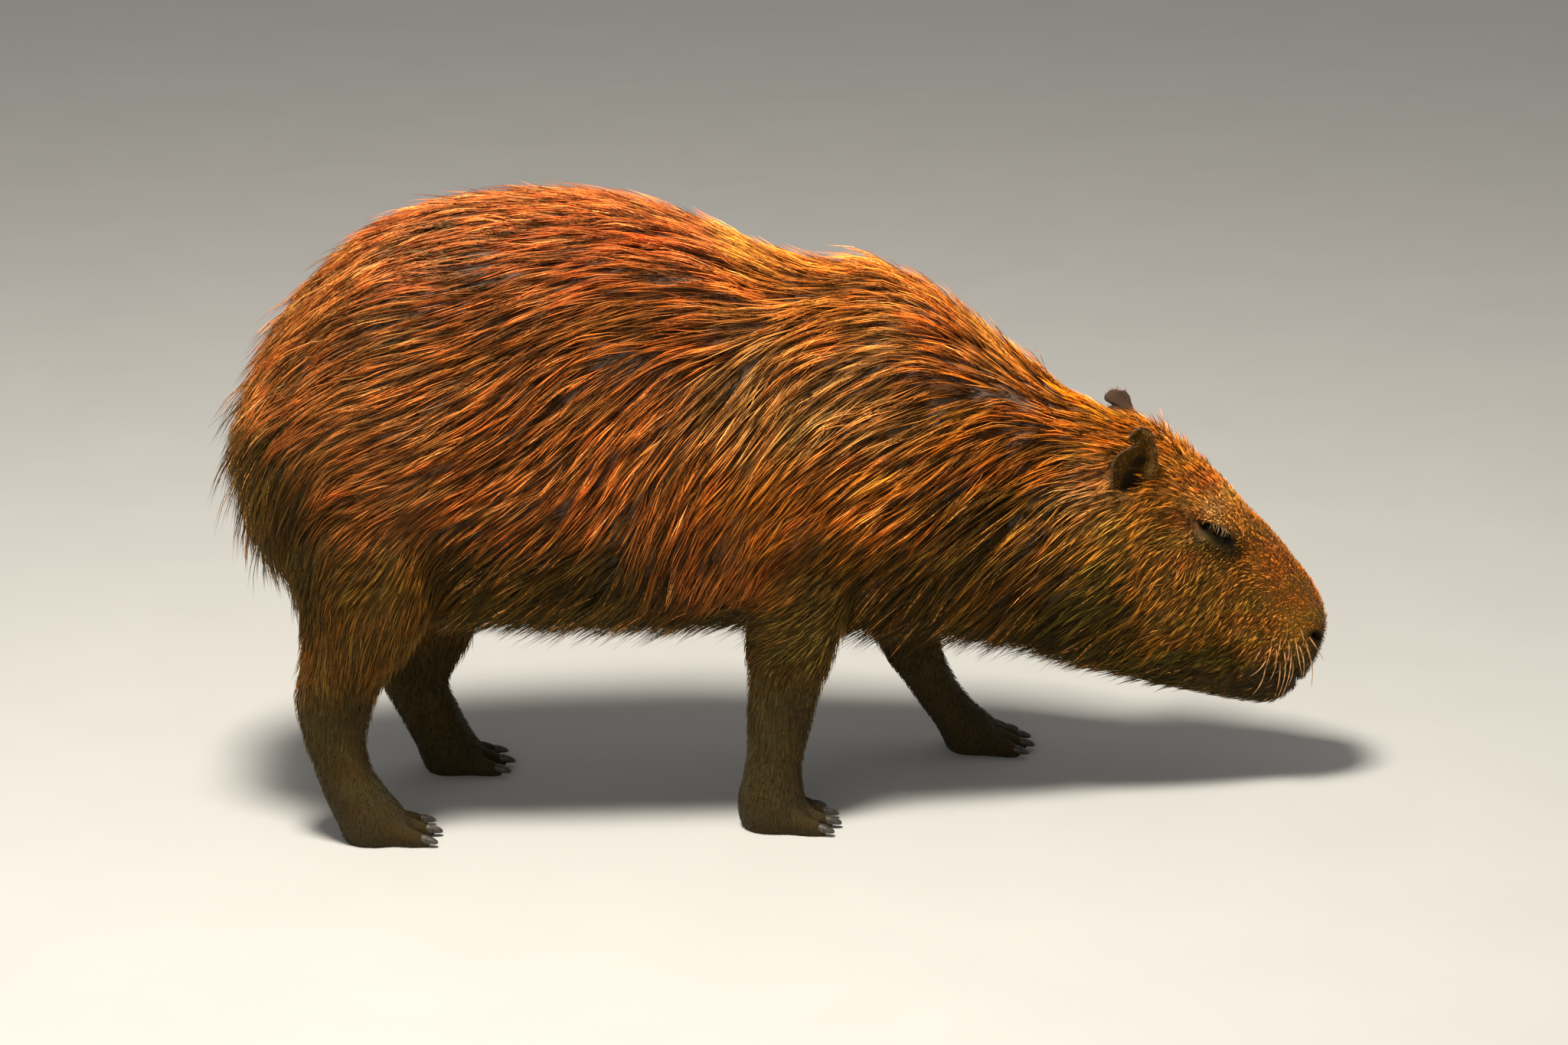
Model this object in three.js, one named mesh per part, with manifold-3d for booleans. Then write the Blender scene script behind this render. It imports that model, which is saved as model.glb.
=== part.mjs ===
// A grazing capybara, life size, head down and feet apart.
// Millimetres. +X runs from rump to nose, +Y to the animal's left, +Z up, and the soles stand on z = 0.
// The solids reach the tips of the coat. The body is modelled whole and parted with thin cuts.

import * as THREE from 'three';
import Module from 'manifold-3d';
import { mergeVertices } from 'three/addons/utils/BufferGeometryUtils.js';

// Driving dimensions
const GAP = 0.3;
const SOCKET_GAP = 0.7;
const BODY_POINTS = 22;
const BODY_RINGS = 37;
const LEG_POINTS = 12;
const TOE_POINTS = 8;
const CLAW_POINTS = 6;
const WORLD = 3000;

const EYE = { x: 447, y: 56, z: 285, radius: 12 };
const EAR = {
  x: 345, y: 55, z: 335, height: 68, halfWidth: 26, cup: 12, thickness: 7,
  lean: 0.34, forward: 0.12, turn: 28,
};
const TOE_HEIGHT = 23;
const TOE_WIDTH = 19;
const CLAW = { length: 21, bury: 11, width: 12, height: 11, lift: 2 };

// Cut planes across the body: a point on the side view and the direction the plane faces there
const CUTS = {
  rump: { x: -265, z: 420, tilt: 0 },
  shoulder: { x: -20, z: 380, tilt: -6 },
  neck: { x: 168, z: 350, tilt: -5 },
  head: { x: 292, z: 280, tilt: -6 },
};
const JAW = { mouthX: 556, mouthZ: 113, slope: -7, backX: 432, backTilt: 24 };
const UPPER_LEG_INNER = 46;
const FOOT_REGION = { top: 120, ahead: 80 };

// Body stations from rump to nose. Each is one cross-section through a top and a bottom point of the
// side view, with its half width, how far down the widest level lies (0 top, 1 bottom) and how square
// the section is (2 is an ellipse).
const BODY = [
  { top: [-541, 430], bottom: [-545, 370], halfWidth: 46, widest: 0.5, square: 2.0 },
  { top: [-530, 454], bottom: [-541, 332], halfWidth: 82, widest: 0.5, square: 2.0 },
  { top: [-504, 502], bottom: [-528, 290], halfWidth: 114, widest: 0.5, square: 2.1 },
  { top: [-464, 560], bottom: [-492, 254], halfWidth: 140, widest: 0.52, square: 2.15 },
  { top: [-406, 611], bottom: [-425, 226], halfWidth: 155, widest: 0.54, square: 2.2 },
  { top: [-335, 638], bottom: [-340, 206], halfWidth: 163, widest: 0.56, square: 2.2 },
  { top: [-255, 648], bottom: [-255, 196], halfWidth: 167, widest: 0.57, square: 2.2 },
  { top: [-170, 645], bottom: [-170, 192], halfWidth: 168, widest: 0.57, square: 2.2 },
  { top: [-90, 623], bottom: [-90, 190], halfWidth: 166, widest: 0.57, square: 2.2 },
  { top: [-10, 586], bottom: [-18, 188], halfWidth: 159, widest: 0.57, square: 2.15 },
  { top: [52, 569], bottom: [40, 184], halfWidth: 151, widest: 0.57, square: 2.1 },
  { top: [112, 566], bottom: [92, 179], halfWidth: 143, widest: 0.57, square: 2.05 },
  { top: [163, 543], bottom: [138, 174], halfWidth: 135, widest: 0.57, square: 2.05 },
  { top: [212, 507], bottom: [186, 169], halfWidth: 126, widest: 0.57, square: 2.05 },
  { top: [260, 464], bottom: [236, 160], halfWidth: 115, widest: 0.57, square: 2.1 },
  { top: [302, 431], bottom: [282, 148], halfWidth: 103, widest: 0.57, square: 2.15 },
  { top: [342, 409], bottom: [326, 134], halfWidth: 93, widest: 0.56, square: 2.25 },
  { top: [384, 390], bottom: [370, 118], halfWidth: 86, widest: 0.54, square: 2.35 },
  { top: [426, 359], bottom: [408, 105], halfWidth: 79, widest: 0.52, square: 2.45 },
  { top: [468, 326], bottom: [444, 95], halfWidth: 71, widest: 0.49, square: 2.5 },
  { top: [505, 288], bottom: [474, 88], halfWidth: 62, widest: 0.47, square: 2.6 },
  { top: [536, 248], bottom: [500, 84], halfWidth: 55, widest: 0.45, square: 2.7 },
  { top: [560, 217], bottom: [520, 85], halfWidth: 51, widest: 0.43, square: 2.7 },
  { top: [573, 193], bottom: [536, 94], halfWidth: 47, widest: 0.42, square: 2.6 },
  { top: [577, 178], bottom: [550, 108], halfWidth: 40, widest: 0.42, square: 2.4 },
];
const RUMP_END = { x: -547, z: 402 };
const NOSE_END = { x: 572, z: 146 };

// Legs from the body down to the sole. Each row is one level ring: its height, its middle along the body,
// half its length along the body, its middle across the body and half its width.
const LEGS = [
  {
    name: 'hind_right', side: -1, upper: 'thigh', lower: 'shank', foot: 'hind_foot', kneeZ: 180, ankleZ: 62,
    rings: [
      [372, -406, 74, 80, 52], [320, -412, 94, 88, 64], [275, -415, 84, 94, 64], [238, -418, 70, 100, 57],
      [200, -430, 56, 104, 47], [170, -445, 48, 105, 39], [150, -451, 44, 105, 35], [125, -453, 38, 105, 31],
      [100, -452, 32, 105, 28], [75, -445, 31, 105, 28], [50, -433, 34, 105, 31], [28, -420, 38, 105, 35],
      [11, -413, 38, 105, 36], [0, -413, 34, 105, 32],
    ],
    toes: { count: 3, rootX: -402, reach: 52, spread: 21, fan: 13 },
    region: { x: -412, z: 338, rx: 104, rz: 128, back: -520, front: -322 },
  },
  {
    name: 'hind_left', side: 1, upper: 'thigh', lower: 'shank', foot: 'hind_foot', kneeZ: 172, ankleZ: 62,
    rings: [
      [372, -350, 74, 80, 52], [320, -350, 90, 88, 64], [275, -348, 82, 94, 64], [238, -345, 70, 100, 57],
      [200, -345, 61, 103, 47], [165, -352, 57, 104, 40], [135, -360, 54, 105, 34], [115, -367, 49, 105, 31],
      [98, -369, 38, 105, 28], [75, -358, 36, 105, 28], [50, -346, 34, 105, 31], [28, -334, 35, 105, 35],
      [11, -327, 36, 105, 36], [0, -327, 32, 105, 32],
    ],
    toes: { count: 3, rootX: -319, reach: 52, spread: 21, fan: 13 },
    region: { x: -352, z: 338, rx: 104, rz: 128, back: -450, front: -255 },
  },
  {
    name: 'fore_right', side: -1, upper: 'upper_foreleg', lower: 'forearm', foot: 'fore_foot',
    kneeZ: 166, ankleZ: 52,
    rings: [
      [340, 18, 64, 80, 50], [290, 16, 74, 90, 52], [242, 14, 62, 98, 47], [200, 11, 51, 104, 40],
      [175, 8, 47, 105, 37], [150, 2, 41, 105, 33], [125, -2, 38, 105, 31], [100, -5, 34, 105, 29],
      [75, -8, 31, 105, 28], [52, -11, 32, 105, 30], [30, -12, 36, 105, 34], [11, -8, 39, 105, 36],
      [0, -8, 35, 105, 32],
    ],
    toes: { count: 4, rootX: 8, reach: 48, spread: 18, fan: 11 },
    region: { x: 15, z: 300, rx: 84, rz: 112, back: -72, front: 92 },
  },
  {
    name: 'fore_left', side: 1, upper: 'upper_foreleg', lower: 'forearm', foot: 'fore_foot',
    kneeZ: 156, ankleZ: 50,
    rings: [
      [340, 88, 64, 80, 50], [290, 103, 74, 90, 52], [242, 119, 62, 100, 47], [200, 133, 53, 108, 41],
      [165, 142, 48, 112, 36], [148, 146, 44, 114, 34], [127, 152, 39, 116, 31], [100, 163, 33, 117, 29],
      [75, 179, 30, 118, 28], [52, 195, 31, 118, 31], [30, 215, 34, 118, 35], [11, 227, 36, 118, 36],
      [0, 227, 32, 118, 32],
    ],
    toes: { count: 4, rootX: 240, reach: 46, spread: 18, fan: 11 },
    region: { x: 112, z: 296, rx: 84, rz: 112, back: 28, front: 206 },
  },
];

const wasm = await Module();
wasm.setup();

// Materials of the coat, the short-haired feet, the bare ear skin, the claws and the eyes
const material = (color, roughness) => new THREE.MeshStandardMaterial({ color, roughness, metalness: 0 });
const COAT = material(0x7a3d1c, 0.75);
const HEAD_COAT = material(0x8a5226, 0.8);
const SHORT_COAT = material(0x4d4132, 0.85);
const EAR_SKIN = material(0x2f2620, 0.7);
const HORN = material(0x2a2622, 0.45);
const EYE_BLACK = material(0x120c08, 0.08);

// A geometry's merged triangles as a solid
function solid(geometry) {
  geometry.deleteAttribute('normal');
  geometry.deleteAttribute('uv');
  const merged = mergeVertices(geometry, 1e-4);
  const vertProperties = new Float32Array(merged.attributes.position.array);
  const triVerts = new Uint32Array(merged.index.array);
  return new wasm.Manifold(new wasm.Mesh({ numProp: 3, vertProperties, triVerts }));
}

// A solid back as a named mesh
function meshOf(body, name, look) {
  const cut = body.getMesh();
  const geometry = new THREE.BufferGeometry();
  geometry.setAttribute('position', new THREE.BufferAttribute(new Float32Array(cut.vertProperties), 3));
  geometry.setIndex(new THREE.BufferAttribute(new Uint32Array(cut.triVerts), 1));
  geometry.computeVertexNormals();
  const mesh = new THREE.Mesh(geometry, look);
  mesh.name = name;
  return mesh;
}

// A closed skin over a list of equal rings, with a fan to a point at each end
function loft(rings, startPoint, endPoint) {
  const count = rings[0].length;
  const points = [...rings.flat(), startPoint, endPoint];
  const first = rings.length * count;
  const index = [];
  for (let r = 0; r < rings.length - 1; r += 1) {
    for (let i = 0; i < count; i += 1) {
      const j = (i + 1) % count;
      const a = r * count + i;
      const b = r * count + j;
      const c = a + count;
      const d = b + count;
      index.push(a, b, d, a, d, c);
    }
  }
  const last = (rings.length - 1) * count;
  for (let i = 0; i < count; i += 1) {
    const j = (i + 1) % count;
    index.push(first, j, i);
    index.push(first + 1, last + i, last + j);
  }
  const geometry = new THREE.BufferGeometry().setFromPoints(points);
  geometry.setIndex(index);
  return geometry;
}

// The solid of a loft, turned the right way out whichever way its rings run
function loftSolid(rings, startPoint, endPoint) {
  const geometry = loft(rings, startPoint, endPoint);
  const position = geometry.attributes.position;
  const corner = [new THREE.Vector3(), new THREE.Vector3(), new THREE.Vector3()];
  let volume = 0;
  for (let t = 0; t < geometry.index.count; t += 3) {
    corner.forEach((v, k) => v.fromBufferAttribute(position, geometry.index.getX(t + k)));
    volume += corner[0].dot(corner[1].clone().cross(corner[2]));
  }
  if (volume < 0) {
    geometry.setIndex(Array.from(geometry.index.array).reverse());
  }
  return solid(geometry);
}

// One value of a superellipse: the cosine or sine with its sign kept and its roundness changed
const bulge = (value, square) => Math.sign(value) * Math.abs(value) ** (2 / square);

// One body cross-section through a top and a bottom point
function bodyRing(top, bottom, halfWidth, widest, square) {
  const middle = top.clone().lerp(bottom, widest);
  const ring = [];
  for (let i = 0; i < BODY_POINTS; i += 1) {
    const angle = (2 * Math.PI * i) / BODY_POINTS;
    const rise = bulge(Math.cos(angle), square);
    const point = middle.clone().lerp(rise > 0 ? top : bottom, Math.abs(rise));
    point.y = halfWidth * bulge(Math.sin(angle), square);
    ring.push(point);
  }
  return ring;
}

// Trunk, neck and head as one smooth loft through the stations
function bodySolid() {
  const sideCurve = (end) => new THREE.CatmullRomCurve3(
    BODY.map((s) => new THREE.Vector3(s[end][0], 0, s[end][1])), false, 'centripetal');
  const topCurve = sideCurve('top');
  const bottomCurve = sideCurve('bottom');
  const formCurve = new THREE.CatmullRomCurve3(
    BODY.map((s) => new THREE.Vector3(s.halfWidth, s.widest * 100, s.square * 10)), false, 'catmullrom', 0.5);
  const rings = [];
  for (let k = 0; k <= BODY_RINGS; k += 1) {
    const t = k / BODY_RINGS;
    const form = formCurve.getPoint(t);
    rings.push(bodyRing(topCurve.getPoint(t), bottomCurve.getPoint(t), form.x, form.y / 100, form.z / 10));
  }
  const start = new THREE.Vector3(RUMP_END.x, 0, RUMP_END.z);
  const end = new THREE.Vector3(NOSE_END.x, 0, NOSE_END.z);
  return loftSolid(rings, start, end);
}

// One leg as a loft of level rings, ending in a flat sole
function legSolid(leg) {
  const rings = leg.rings.map(([z, x, halfLength, y, halfWidth]) => {
    const ring = [];
    for (let i = 0; i < LEG_POINTS; i += 1) {
      const angle = (2 * Math.PI * i) / LEG_POINTS;
      const across = leg.side * y + halfWidth * bulge(Math.sin(angle), 2.2);
      ring.push(new THREE.Vector3(x + halfLength * bulge(Math.cos(angle), 2.2), across, z));
    }
    return ring;
  });
  const [topZ, topX, , topY] = leg.rings[0];
  const [, soleX, , soleY] = leg.rings[leg.rings.length - 1];
  const top = new THREE.Vector3(topX, leg.side * topY, topZ);
  const sole = new THREE.Vector3(soleX, leg.side * soleY, 0);
  return loftSolid(rings, top, sole);
}

// A short blunt loft along a level direction, for toes and claws: its sections are a width, a height and
// the level of their middle at each distance from the start
function levelLoft(start, heading, sections, count) {
  const along = new THREE.Vector3(Math.cos(heading), Math.sin(heading), 0);
  const across = new THREE.Vector3(-Math.sin(heading), Math.cos(heading), 0);
  const rings = sections.map(({ distance, width, height, middle }) => {
    const ring = [];
    for (let i = 0; i < count; i += 1) {
      const angle = (2 * Math.PI * i) / count;
      const point = start.clone().addScaledVector(along, distance);
      point.addScaledVector(across, (width / 2) * bulge(Math.cos(angle), 2.3));
      point.z = middle + (height / 2) * bulge(Math.sin(angle), 2.3);
      ring.push(point);
    }
    return ring;
  });
  const firstPoint = start.clone();
  firstPoint.addScaledVector(along, sections[0].distance).setZ(sections[0].middle);
  const final = sections[sections.length - 1];
  const lastPoint = start.clone();
  lastPoint.addScaledVector(along, final.distance).setZ(final.middle);
  return loftSolid(rings, firstPoint, lastPoint);
}

// Where each toe of a leg starts, where it points and how long it is
function toesOf(leg) {
  const { count, rootX, reach, spread, fan } = leg.toes;
  const footY = leg.rings[leg.rings.length - 1][3];
  const middle = (count - 1) / 2;
  return Array.from({ length: count }, (_, i) => {
    const off = i - middle;
    const heading = THREE.MathUtils.degToRad(off * fan);
    const length = reach * (1 - 0.09 * off * off);
    return { start: new THREE.Vector3(rootX - 6, leg.side * footY + off * spread, 0), heading, length };
  });
}

// One toe, dipping just below the floor so that the floor trims it flat
function toeSolid({ start, heading, length }) {
  const part = (share, width, height) => ({
    distance: length * share, width: TOE_WIDTH * width, height: TOE_HEIGHT * height * 1.1,
    middle: TOE_HEIGHT * height * 0.42,
  });
  const sections = [part(0, 0.8, 1.1), part(0.45, 1, 1.05), part(0.84, 0.98, 0.85), part(1, 0.55, 0.5)];
  return levelLoft(start, heading, sections, TOE_POINTS);
}

// One blunt, hoof-like claw over the end of a toe, or its socket when grown by a clearance
function clawSolid({ start, heading, length }, grow) {
  const part = (share, width, height, middle) => ({
    distance: length - CLAW.bury + CLAW.length * share + (share ? grow : -grow),
    width: CLAW.width * width + 2 * grow,
    height: CLAW.height * height + 2 * grow,
    middle: CLAW.lift + CLAW.height * middle,
  });
  const sections = [part(0, 0.85, 0.95, 0.62), part(0.55, 1, 0.95, 0.55), part(1, 0.66, 0.4, 0.3)];
  return levelLoft(start, heading, sections, CLAW_POINTS);
}

// One ear: a rounded, cupped flap that opens forwards and outwards, or its socket when grown
function earSolid(side, grow) {
  const turn = THREE.MathUtils.degToRad(EAR.turn);
  const up = new THREE.Vector3(EAR.forward, side * EAR.lean, 1).normalize();
  const opening = new THREE.Vector3(Math.sin(turn), side * Math.cos(turn), 0);
  const across = new THREE.Vector3().crossVectors(up, opening).normalize();
  const face = new THREE.Vector3().crossVectors(across, up).normalize();
  const root = new THREE.Vector3(EAR.x, side * EAR.y, EAR.z);
  const levels = 6;
  const count = 10;
  const rings = [];
  for (let k = 0; k <= levels; k += 1) {
    const share = k / levels;
    const half = EAR.halfWidth * Math.sqrt(1 - ((share - 0.48) / 0.6) ** 2);
    const thick = (EAR.thickness / 2) * (1.25 - 0.55 * share) + grow;
    const ring = [];
    for (let i = 0; i < count; i += 1) {
      const angle = (2 * Math.PI * i) / count;
      const aside = (half + grow) * Math.cos(angle);
      const cup = EAR.cup * (0.6 + 0.4 * share) * (aside / half) ** 2;
      const point = root.clone().addScaledVector(up, EAR.height * share + (share - 0.5) * 2 * grow);
      point.addScaledVector(across, aside);
      point.addScaledVector(face, cup + thick * bulge(Math.sin(angle), 2.4));
      ring.push(point);
    }
    rings.push(ring);
  }
  const centre = (ring) => ring.reduce((sum, p) => sum.add(p), new THREE.Vector3()).divideScalar(count);
  return loftSolid(rings, centre(rings[0]), centre(rings[levels]));
}

// One eyeball, or its socket when grown
function eyeSolid(side, grow) {
  const ball = new THREE.SphereGeometry(EYE.radius + grow, 12, 8);
  ball.translate(EYE.x, side * EYE.y, EYE.z);
  return solid(ball);
}

// A large block whose low or high face is a plane across the body, held back from it by half a gap
function sideOfPlane({ x, z, tilt }, sign) {
  const block = new THREE.BoxGeometry(WORLD, WORLD, WORLD);
  block.translate(sign * (WORLD / 2 + GAP / 2), 0, 0);
  block.rotateY(THREE.MathUtils.degToRad(-tilt));
  block.translate(x, 0, z);
  return solid(block);
}

// A large block above or below a level
function sideOfLevel(z, sign) {
  const block = new THREE.BoxGeometry(WORLD, WORLD, WORLD);
  block.translate(0, 0, z + sign * (WORLD / 2 + GAP / 2));
  return solid(block);
}

// The space that an upper leg takes out of the body: an oval across the flank and the column below it
function legRegion(leg, grow) {
  const { x, z, rx, rz, back, front } = leg.region;
  const depth = WORLD / 10;
  const middleY = leg.side * (UPPER_LEG_INNER - grow + depth / 2);
  const oval = new THREE.CylinderGeometry(1, 1, depth, 40);
  oval.scale(rx + grow, 1, rz + grow);
  oval.translate(x, middleY, z);
  const column = new THREE.BoxGeometry(front - back + 2 * grow, depth, z);
  column.translate((front + back) / 2, middleY, z / 2);
  const footLength = FOOT_REGION.ahead + leg.toes.rootX - back;
  const footBlock = new THREE.BoxGeometry(footLength, depth, FOOT_REGION.top);
  footBlock.translate(back + footLength / 2, middleY, FOOT_REGION.top / 2);
  return solid(oval).add(solid(column)).add(solid(footBlock));
}

// The whole animal in one solid, trimmed flat at the floor
function wholeSolid() {
  let whole = bodySolid();
  for (const leg of LEGS) {
    whole = whole.add(legSolid(leg));
    for (const toe of toesOf(leg)) {
      whole = whole.add(toeSolid(toe));
    }
  }
  const floor = new THREE.BoxGeometry(WORLD, WORLD, WORLD);
  floor.translate(0, 0, -WORLD / 2);
  return whole.subtract(solid(floor));
}

// Parts the whole animal into its named pieces
function buildCapybara() {
  const group = new THREE.Group();
  const whole = wholeSolid();

  // Legs, each in three lengths, with their claws
  let trunk = whole;
  for (const leg of LEGS) {
    const sideName = leg.side < 0 ? 'right' : 'left';
    const limb = new THREE.Group();
    const claws = toesOf(leg);
    let column = whole.intersect(legRegion(leg, 0));
    claws.forEach((toe, i) => {
      column = column.subtract(clawSolid(toe, SOCKET_GAP));
      const clawName = `claw_${leg.name}_${i + 1}`;
      limb.add(meshOf(clawSolid(toe, 0), clawName, HORN));
    });
    const upper = column.intersect(sideOfLevel(leg.kneeZ, 1));
    const lower = column.intersect(sideOfLevel(leg.kneeZ, -1)).intersect(sideOfLevel(leg.ankleZ, 1));
    const foot = column.intersect(sideOfLevel(leg.ankleZ, -1));
    limb.add(meshOf(upper, `${leg.upper}_${sideName}`, COAT));
    limb.add(meshOf(lower, `${leg.lower}_${sideName}`, SHORT_COAT));
    limb.add(meshOf(foot, `${leg.foot}_${sideName}`, SHORT_COAT));
    group.add(limb);
    trunk = trunk.subtract(legRegion(leg, GAP));
  }

  // Trunk and neck
  const rear = trunk.intersect(sideOfPlane(CUTS.rump, -1));
  const middle = trunk.intersect(sideOfPlane(CUTS.rump, 1)).intersect(sideOfPlane(CUTS.shoulder, -1));
  const front = trunk.intersect(sideOfPlane(CUTS.shoulder, 1)).intersect(sideOfPlane(CUTS.neck, -1));
  const neck = trunk.intersect(sideOfPlane(CUTS.neck, 1)).intersect(sideOfPlane(CUTS.head, -1));
  group.add(meshOf(rear, 'rump', COAT));
  group.add(meshOf(middle, 'barrel', COAT));
  group.add(meshOf(front, 'shoulders', COAT));
  group.add(meshOf(neck, 'neck', COAT));

  // Head with its lower jaw, ears and eyes
  let head = trunk.intersect(sideOfPlane(CUTS.head, 1));
  const mouth = { x: JAW.mouthX, z: JAW.mouthZ, tilt: 90 + JAW.slope };
  const jawBack = { x: JAW.backX, z: JAW.mouthZ, tilt: JAW.backTilt };
  const jaw = head.intersect(sideOfPlane(mouth, -1)).intersect(sideOfPlane(jawBack, 1));
  const aboveMouth = head.intersect(sideOfPlane(mouth, 1));
  const behindJaw = head.intersect(sideOfPlane(jawBack, -1));
  head = aboveMouth.add(behindJaw);
  const headGroup = new THREE.Group();
  for (const side of [-1, 1]) {
    const sideName = side < 0 ? 'right' : 'left';
    head = head.subtract(earSolid(side, SOCKET_GAP)).subtract(eyeSolid(side, GAP));
    headGroup.add(meshOf(earSolid(side, 0), `ear_${sideName}`, EAR_SKIN));
    headGroup.add(meshOf(eyeSolid(side, 0), `eye_${sideName}`, EYE_BLACK));
  }
  headGroup.add(meshOf(head, 'head', HEAD_COAT));
  headGroup.add(meshOf(jaw, 'lower_jaw', HEAD_COAT));
  group.add(headGroup);
  return group;
}

const group = buildCapybara();

// The origin is on the floor under the middle of the animal's length
const extent = new THREE.Box3().setFromObject(group);
group.position.x = -(extent.min.x + extent.max.x) / 2;
group.position.y = -(extent.min.y + extent.max.y) / 2;

export default group;
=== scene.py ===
"""A grazing capybara at life size: hide, eyes, claws, whiskers and a coarse, combed-back coat."""
import math

import bmesh
import bpy
import numpy as np
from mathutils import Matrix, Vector
from mathutils.bvhtree import BVHTree
from mathutils.kdtree import KDTree


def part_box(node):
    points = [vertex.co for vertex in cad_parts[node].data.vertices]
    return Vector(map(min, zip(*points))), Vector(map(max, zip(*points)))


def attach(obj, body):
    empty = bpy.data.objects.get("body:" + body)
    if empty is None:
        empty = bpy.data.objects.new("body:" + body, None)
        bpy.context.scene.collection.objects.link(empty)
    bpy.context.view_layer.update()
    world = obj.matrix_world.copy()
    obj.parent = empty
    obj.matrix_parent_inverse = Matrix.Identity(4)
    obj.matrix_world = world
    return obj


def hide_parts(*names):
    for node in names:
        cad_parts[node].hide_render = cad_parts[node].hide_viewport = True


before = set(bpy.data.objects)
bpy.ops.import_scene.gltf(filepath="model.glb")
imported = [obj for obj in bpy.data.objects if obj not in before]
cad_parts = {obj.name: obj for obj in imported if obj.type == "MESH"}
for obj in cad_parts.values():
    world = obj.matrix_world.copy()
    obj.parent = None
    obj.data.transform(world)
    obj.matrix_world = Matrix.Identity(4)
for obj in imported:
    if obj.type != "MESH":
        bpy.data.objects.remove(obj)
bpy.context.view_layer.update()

# The camera
# It stands a little behind the animal's right side and looks down on it, as the photograph does.
LENS_MM = 117
SENSOR_MM = 36
CAMERA_PLACE = Vector((-0.483, -4.975, 1.7705))
CAMERA_AZIMUTH = math.radians(-5.5)
CAMERA_ELEVATION = math.radians(16.5)

camera_data = bpy.data.cameras.new("camera")
camera_data.lens = LENS_MM
camera_data.sensor_width = SENSOR_MM
camera_data.clip_start = 0.1
camera_data.clip_end = 60
camera = bpy.data.objects.new("camera", camera_data)
bpy.context.scene.collection.objects.link(camera)
away = Vector((
    math.sin(CAMERA_AZIMUTH) * math.cos(CAMERA_ELEVATION),
    -math.cos(CAMERA_AZIMUTH) * math.cos(CAMERA_ELEVATION),
    math.sin(CAMERA_ELEVATION),
))
camera.location = CAMERA_PLACE
camera.rotation_mode = "QUATERNION"
camera.rotation_quaternion = (-away).to_track_quat("-Z", "Y")
bpy.context.scene.camera = camera

# The hide
# The real hide is one thick, loose, grey-brown skin from nose to soles. It is drawn over the flesh in one
# piece: the fleshy lengths are melted together, let in by the depth of the coat and worked over at the head.
MM = 0.001
RIGHT, LEFT = -1, 1
OVERLAP = 0.5 * MM
HIDE_MESH_SIZE, MELT_ROUNDS = 2.9 * MM, 14
HIDE_TRIANGLES = 150000

# Depth of the coat and length of its strands in millimetres, for each length of the body
COAT = {
    "rump": (16, 84),
    "barrel": (16, 92),
    "shoulders": (17, 94),
    "neck": (17, 82),
    "thigh": (8, 44),
    "upper_foreleg": (7, 34),
    "shank": (3.2, 14),
    "forearm": (3.2, 13),
    "hind_foot": (1.8, 8),
    "fore_foot": (1.8, 8),
    "claw": (1.6, 5),
    "lower_jaw": (5, 20),
    "head": (4.5, 20),
    "eye": (4.5, 9),
}
FLESH = {node: thing for node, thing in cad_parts.items() if not node.startswith("ear_")}


def group_of(node):
    """The length of the body that a node's name says, without its side or number."""
    return next(name for name in COAT if node.startswith(name))


def mesh_points(mesh):
    """The places of a mesh's vertices."""
    flat = np.empty(len(mesh.vertices) * 3)
    mesh.vertices.foreach_get("co", flat)
    return flat.reshape(-1, 3)


def mesh_normals(mesh):
    """The smooth outward direction at each vertex."""
    flat = np.empty(len(mesh.vertices) * 3)
    mesh.vertex_normals.foreach_get("vector", flat)
    return flat.reshape(-1, 3)


def mesh_edges(mesh):
    """The two vertex numbers of each edge."""
    flat = np.empty(len(mesh.edges) * 2, dtype=np.int32)
    mesh.edges.foreach_get("vertices", flat)
    return flat.reshape(-1, 2)


def set_points(mesh, points):
    """Moves a mesh's vertices."""
    mesh.vertices.foreach_set("co", np.asarray(points, dtype=np.float32).ravel())
    mesh.update()


def evened(values, edges, rounds, share=0.6):
    """Values at vertices, each drawn towards the mean of its neighbours, round by round."""
    values = np.array(values, dtype=float)
    flat = values.reshape(len(values), -1)
    ends = np.concatenate([edges[:, 0], edges[:, 1]])
    others = np.concatenate([edges[:, 1], edges[:, 0]])
    count = np.maximum(np.bincount(ends, minlength=len(flat)), 1)
    for _ in range(rounds):
        for c in range(flat.shape[1]):
            mean = np.bincount(ends, weights=flat[others, c], minlength=len(flat)) / count
            flat[:, c] += share * (mean - flat[:, c])
    return flat.reshape(values.shape)


def unit(vectors):
    """Vectors at length one."""
    return vectors / np.maximum(np.linalg.norm(vectors, axis=-1, keepdims=True), 1e-9)


def ease(value, low, high):
    """A smooth rise from 0 at low to 1 at high."""
    share = np.clip((value - low) / (high - low), 0, 1)
    return share * share * (3 - 2 * share)


def hump(value, spread=1):
    """A soft hump: 1 where the value is nothing, fading away over the spread on both sides."""
    return np.exp(-0.5 * (value / spread) ** 2)


def mingled(first, second, share):
    """Values between the first ones and the second ones."""
    return first + (second - first) * share


def add_object(name, data):
    """A mesh or a light as an object in the scene."""
    made = bpy.data.objects.new(name, data)
    bpy.context.scene.collection.objects.link(made)
    return made


def with_modifiers(thing):
    """The object's mesh with its modifiers taken in, in place of the old mesh."""
    graph = bpy.context.evaluated_depsgraph_get()
    finished = bpy.data.meshes.new_from_object(thing.evaluated_get(graph))
    thing.modifiers.clear()
    thing.data = finished
    return finished


def smooth_shaded(mesh):
    """Shades a mesh as a rounded surface."""
    mesh.polygons.foreach_set("use_smooth", np.ones(len(mesh.polygons), dtype=bool))


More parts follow.
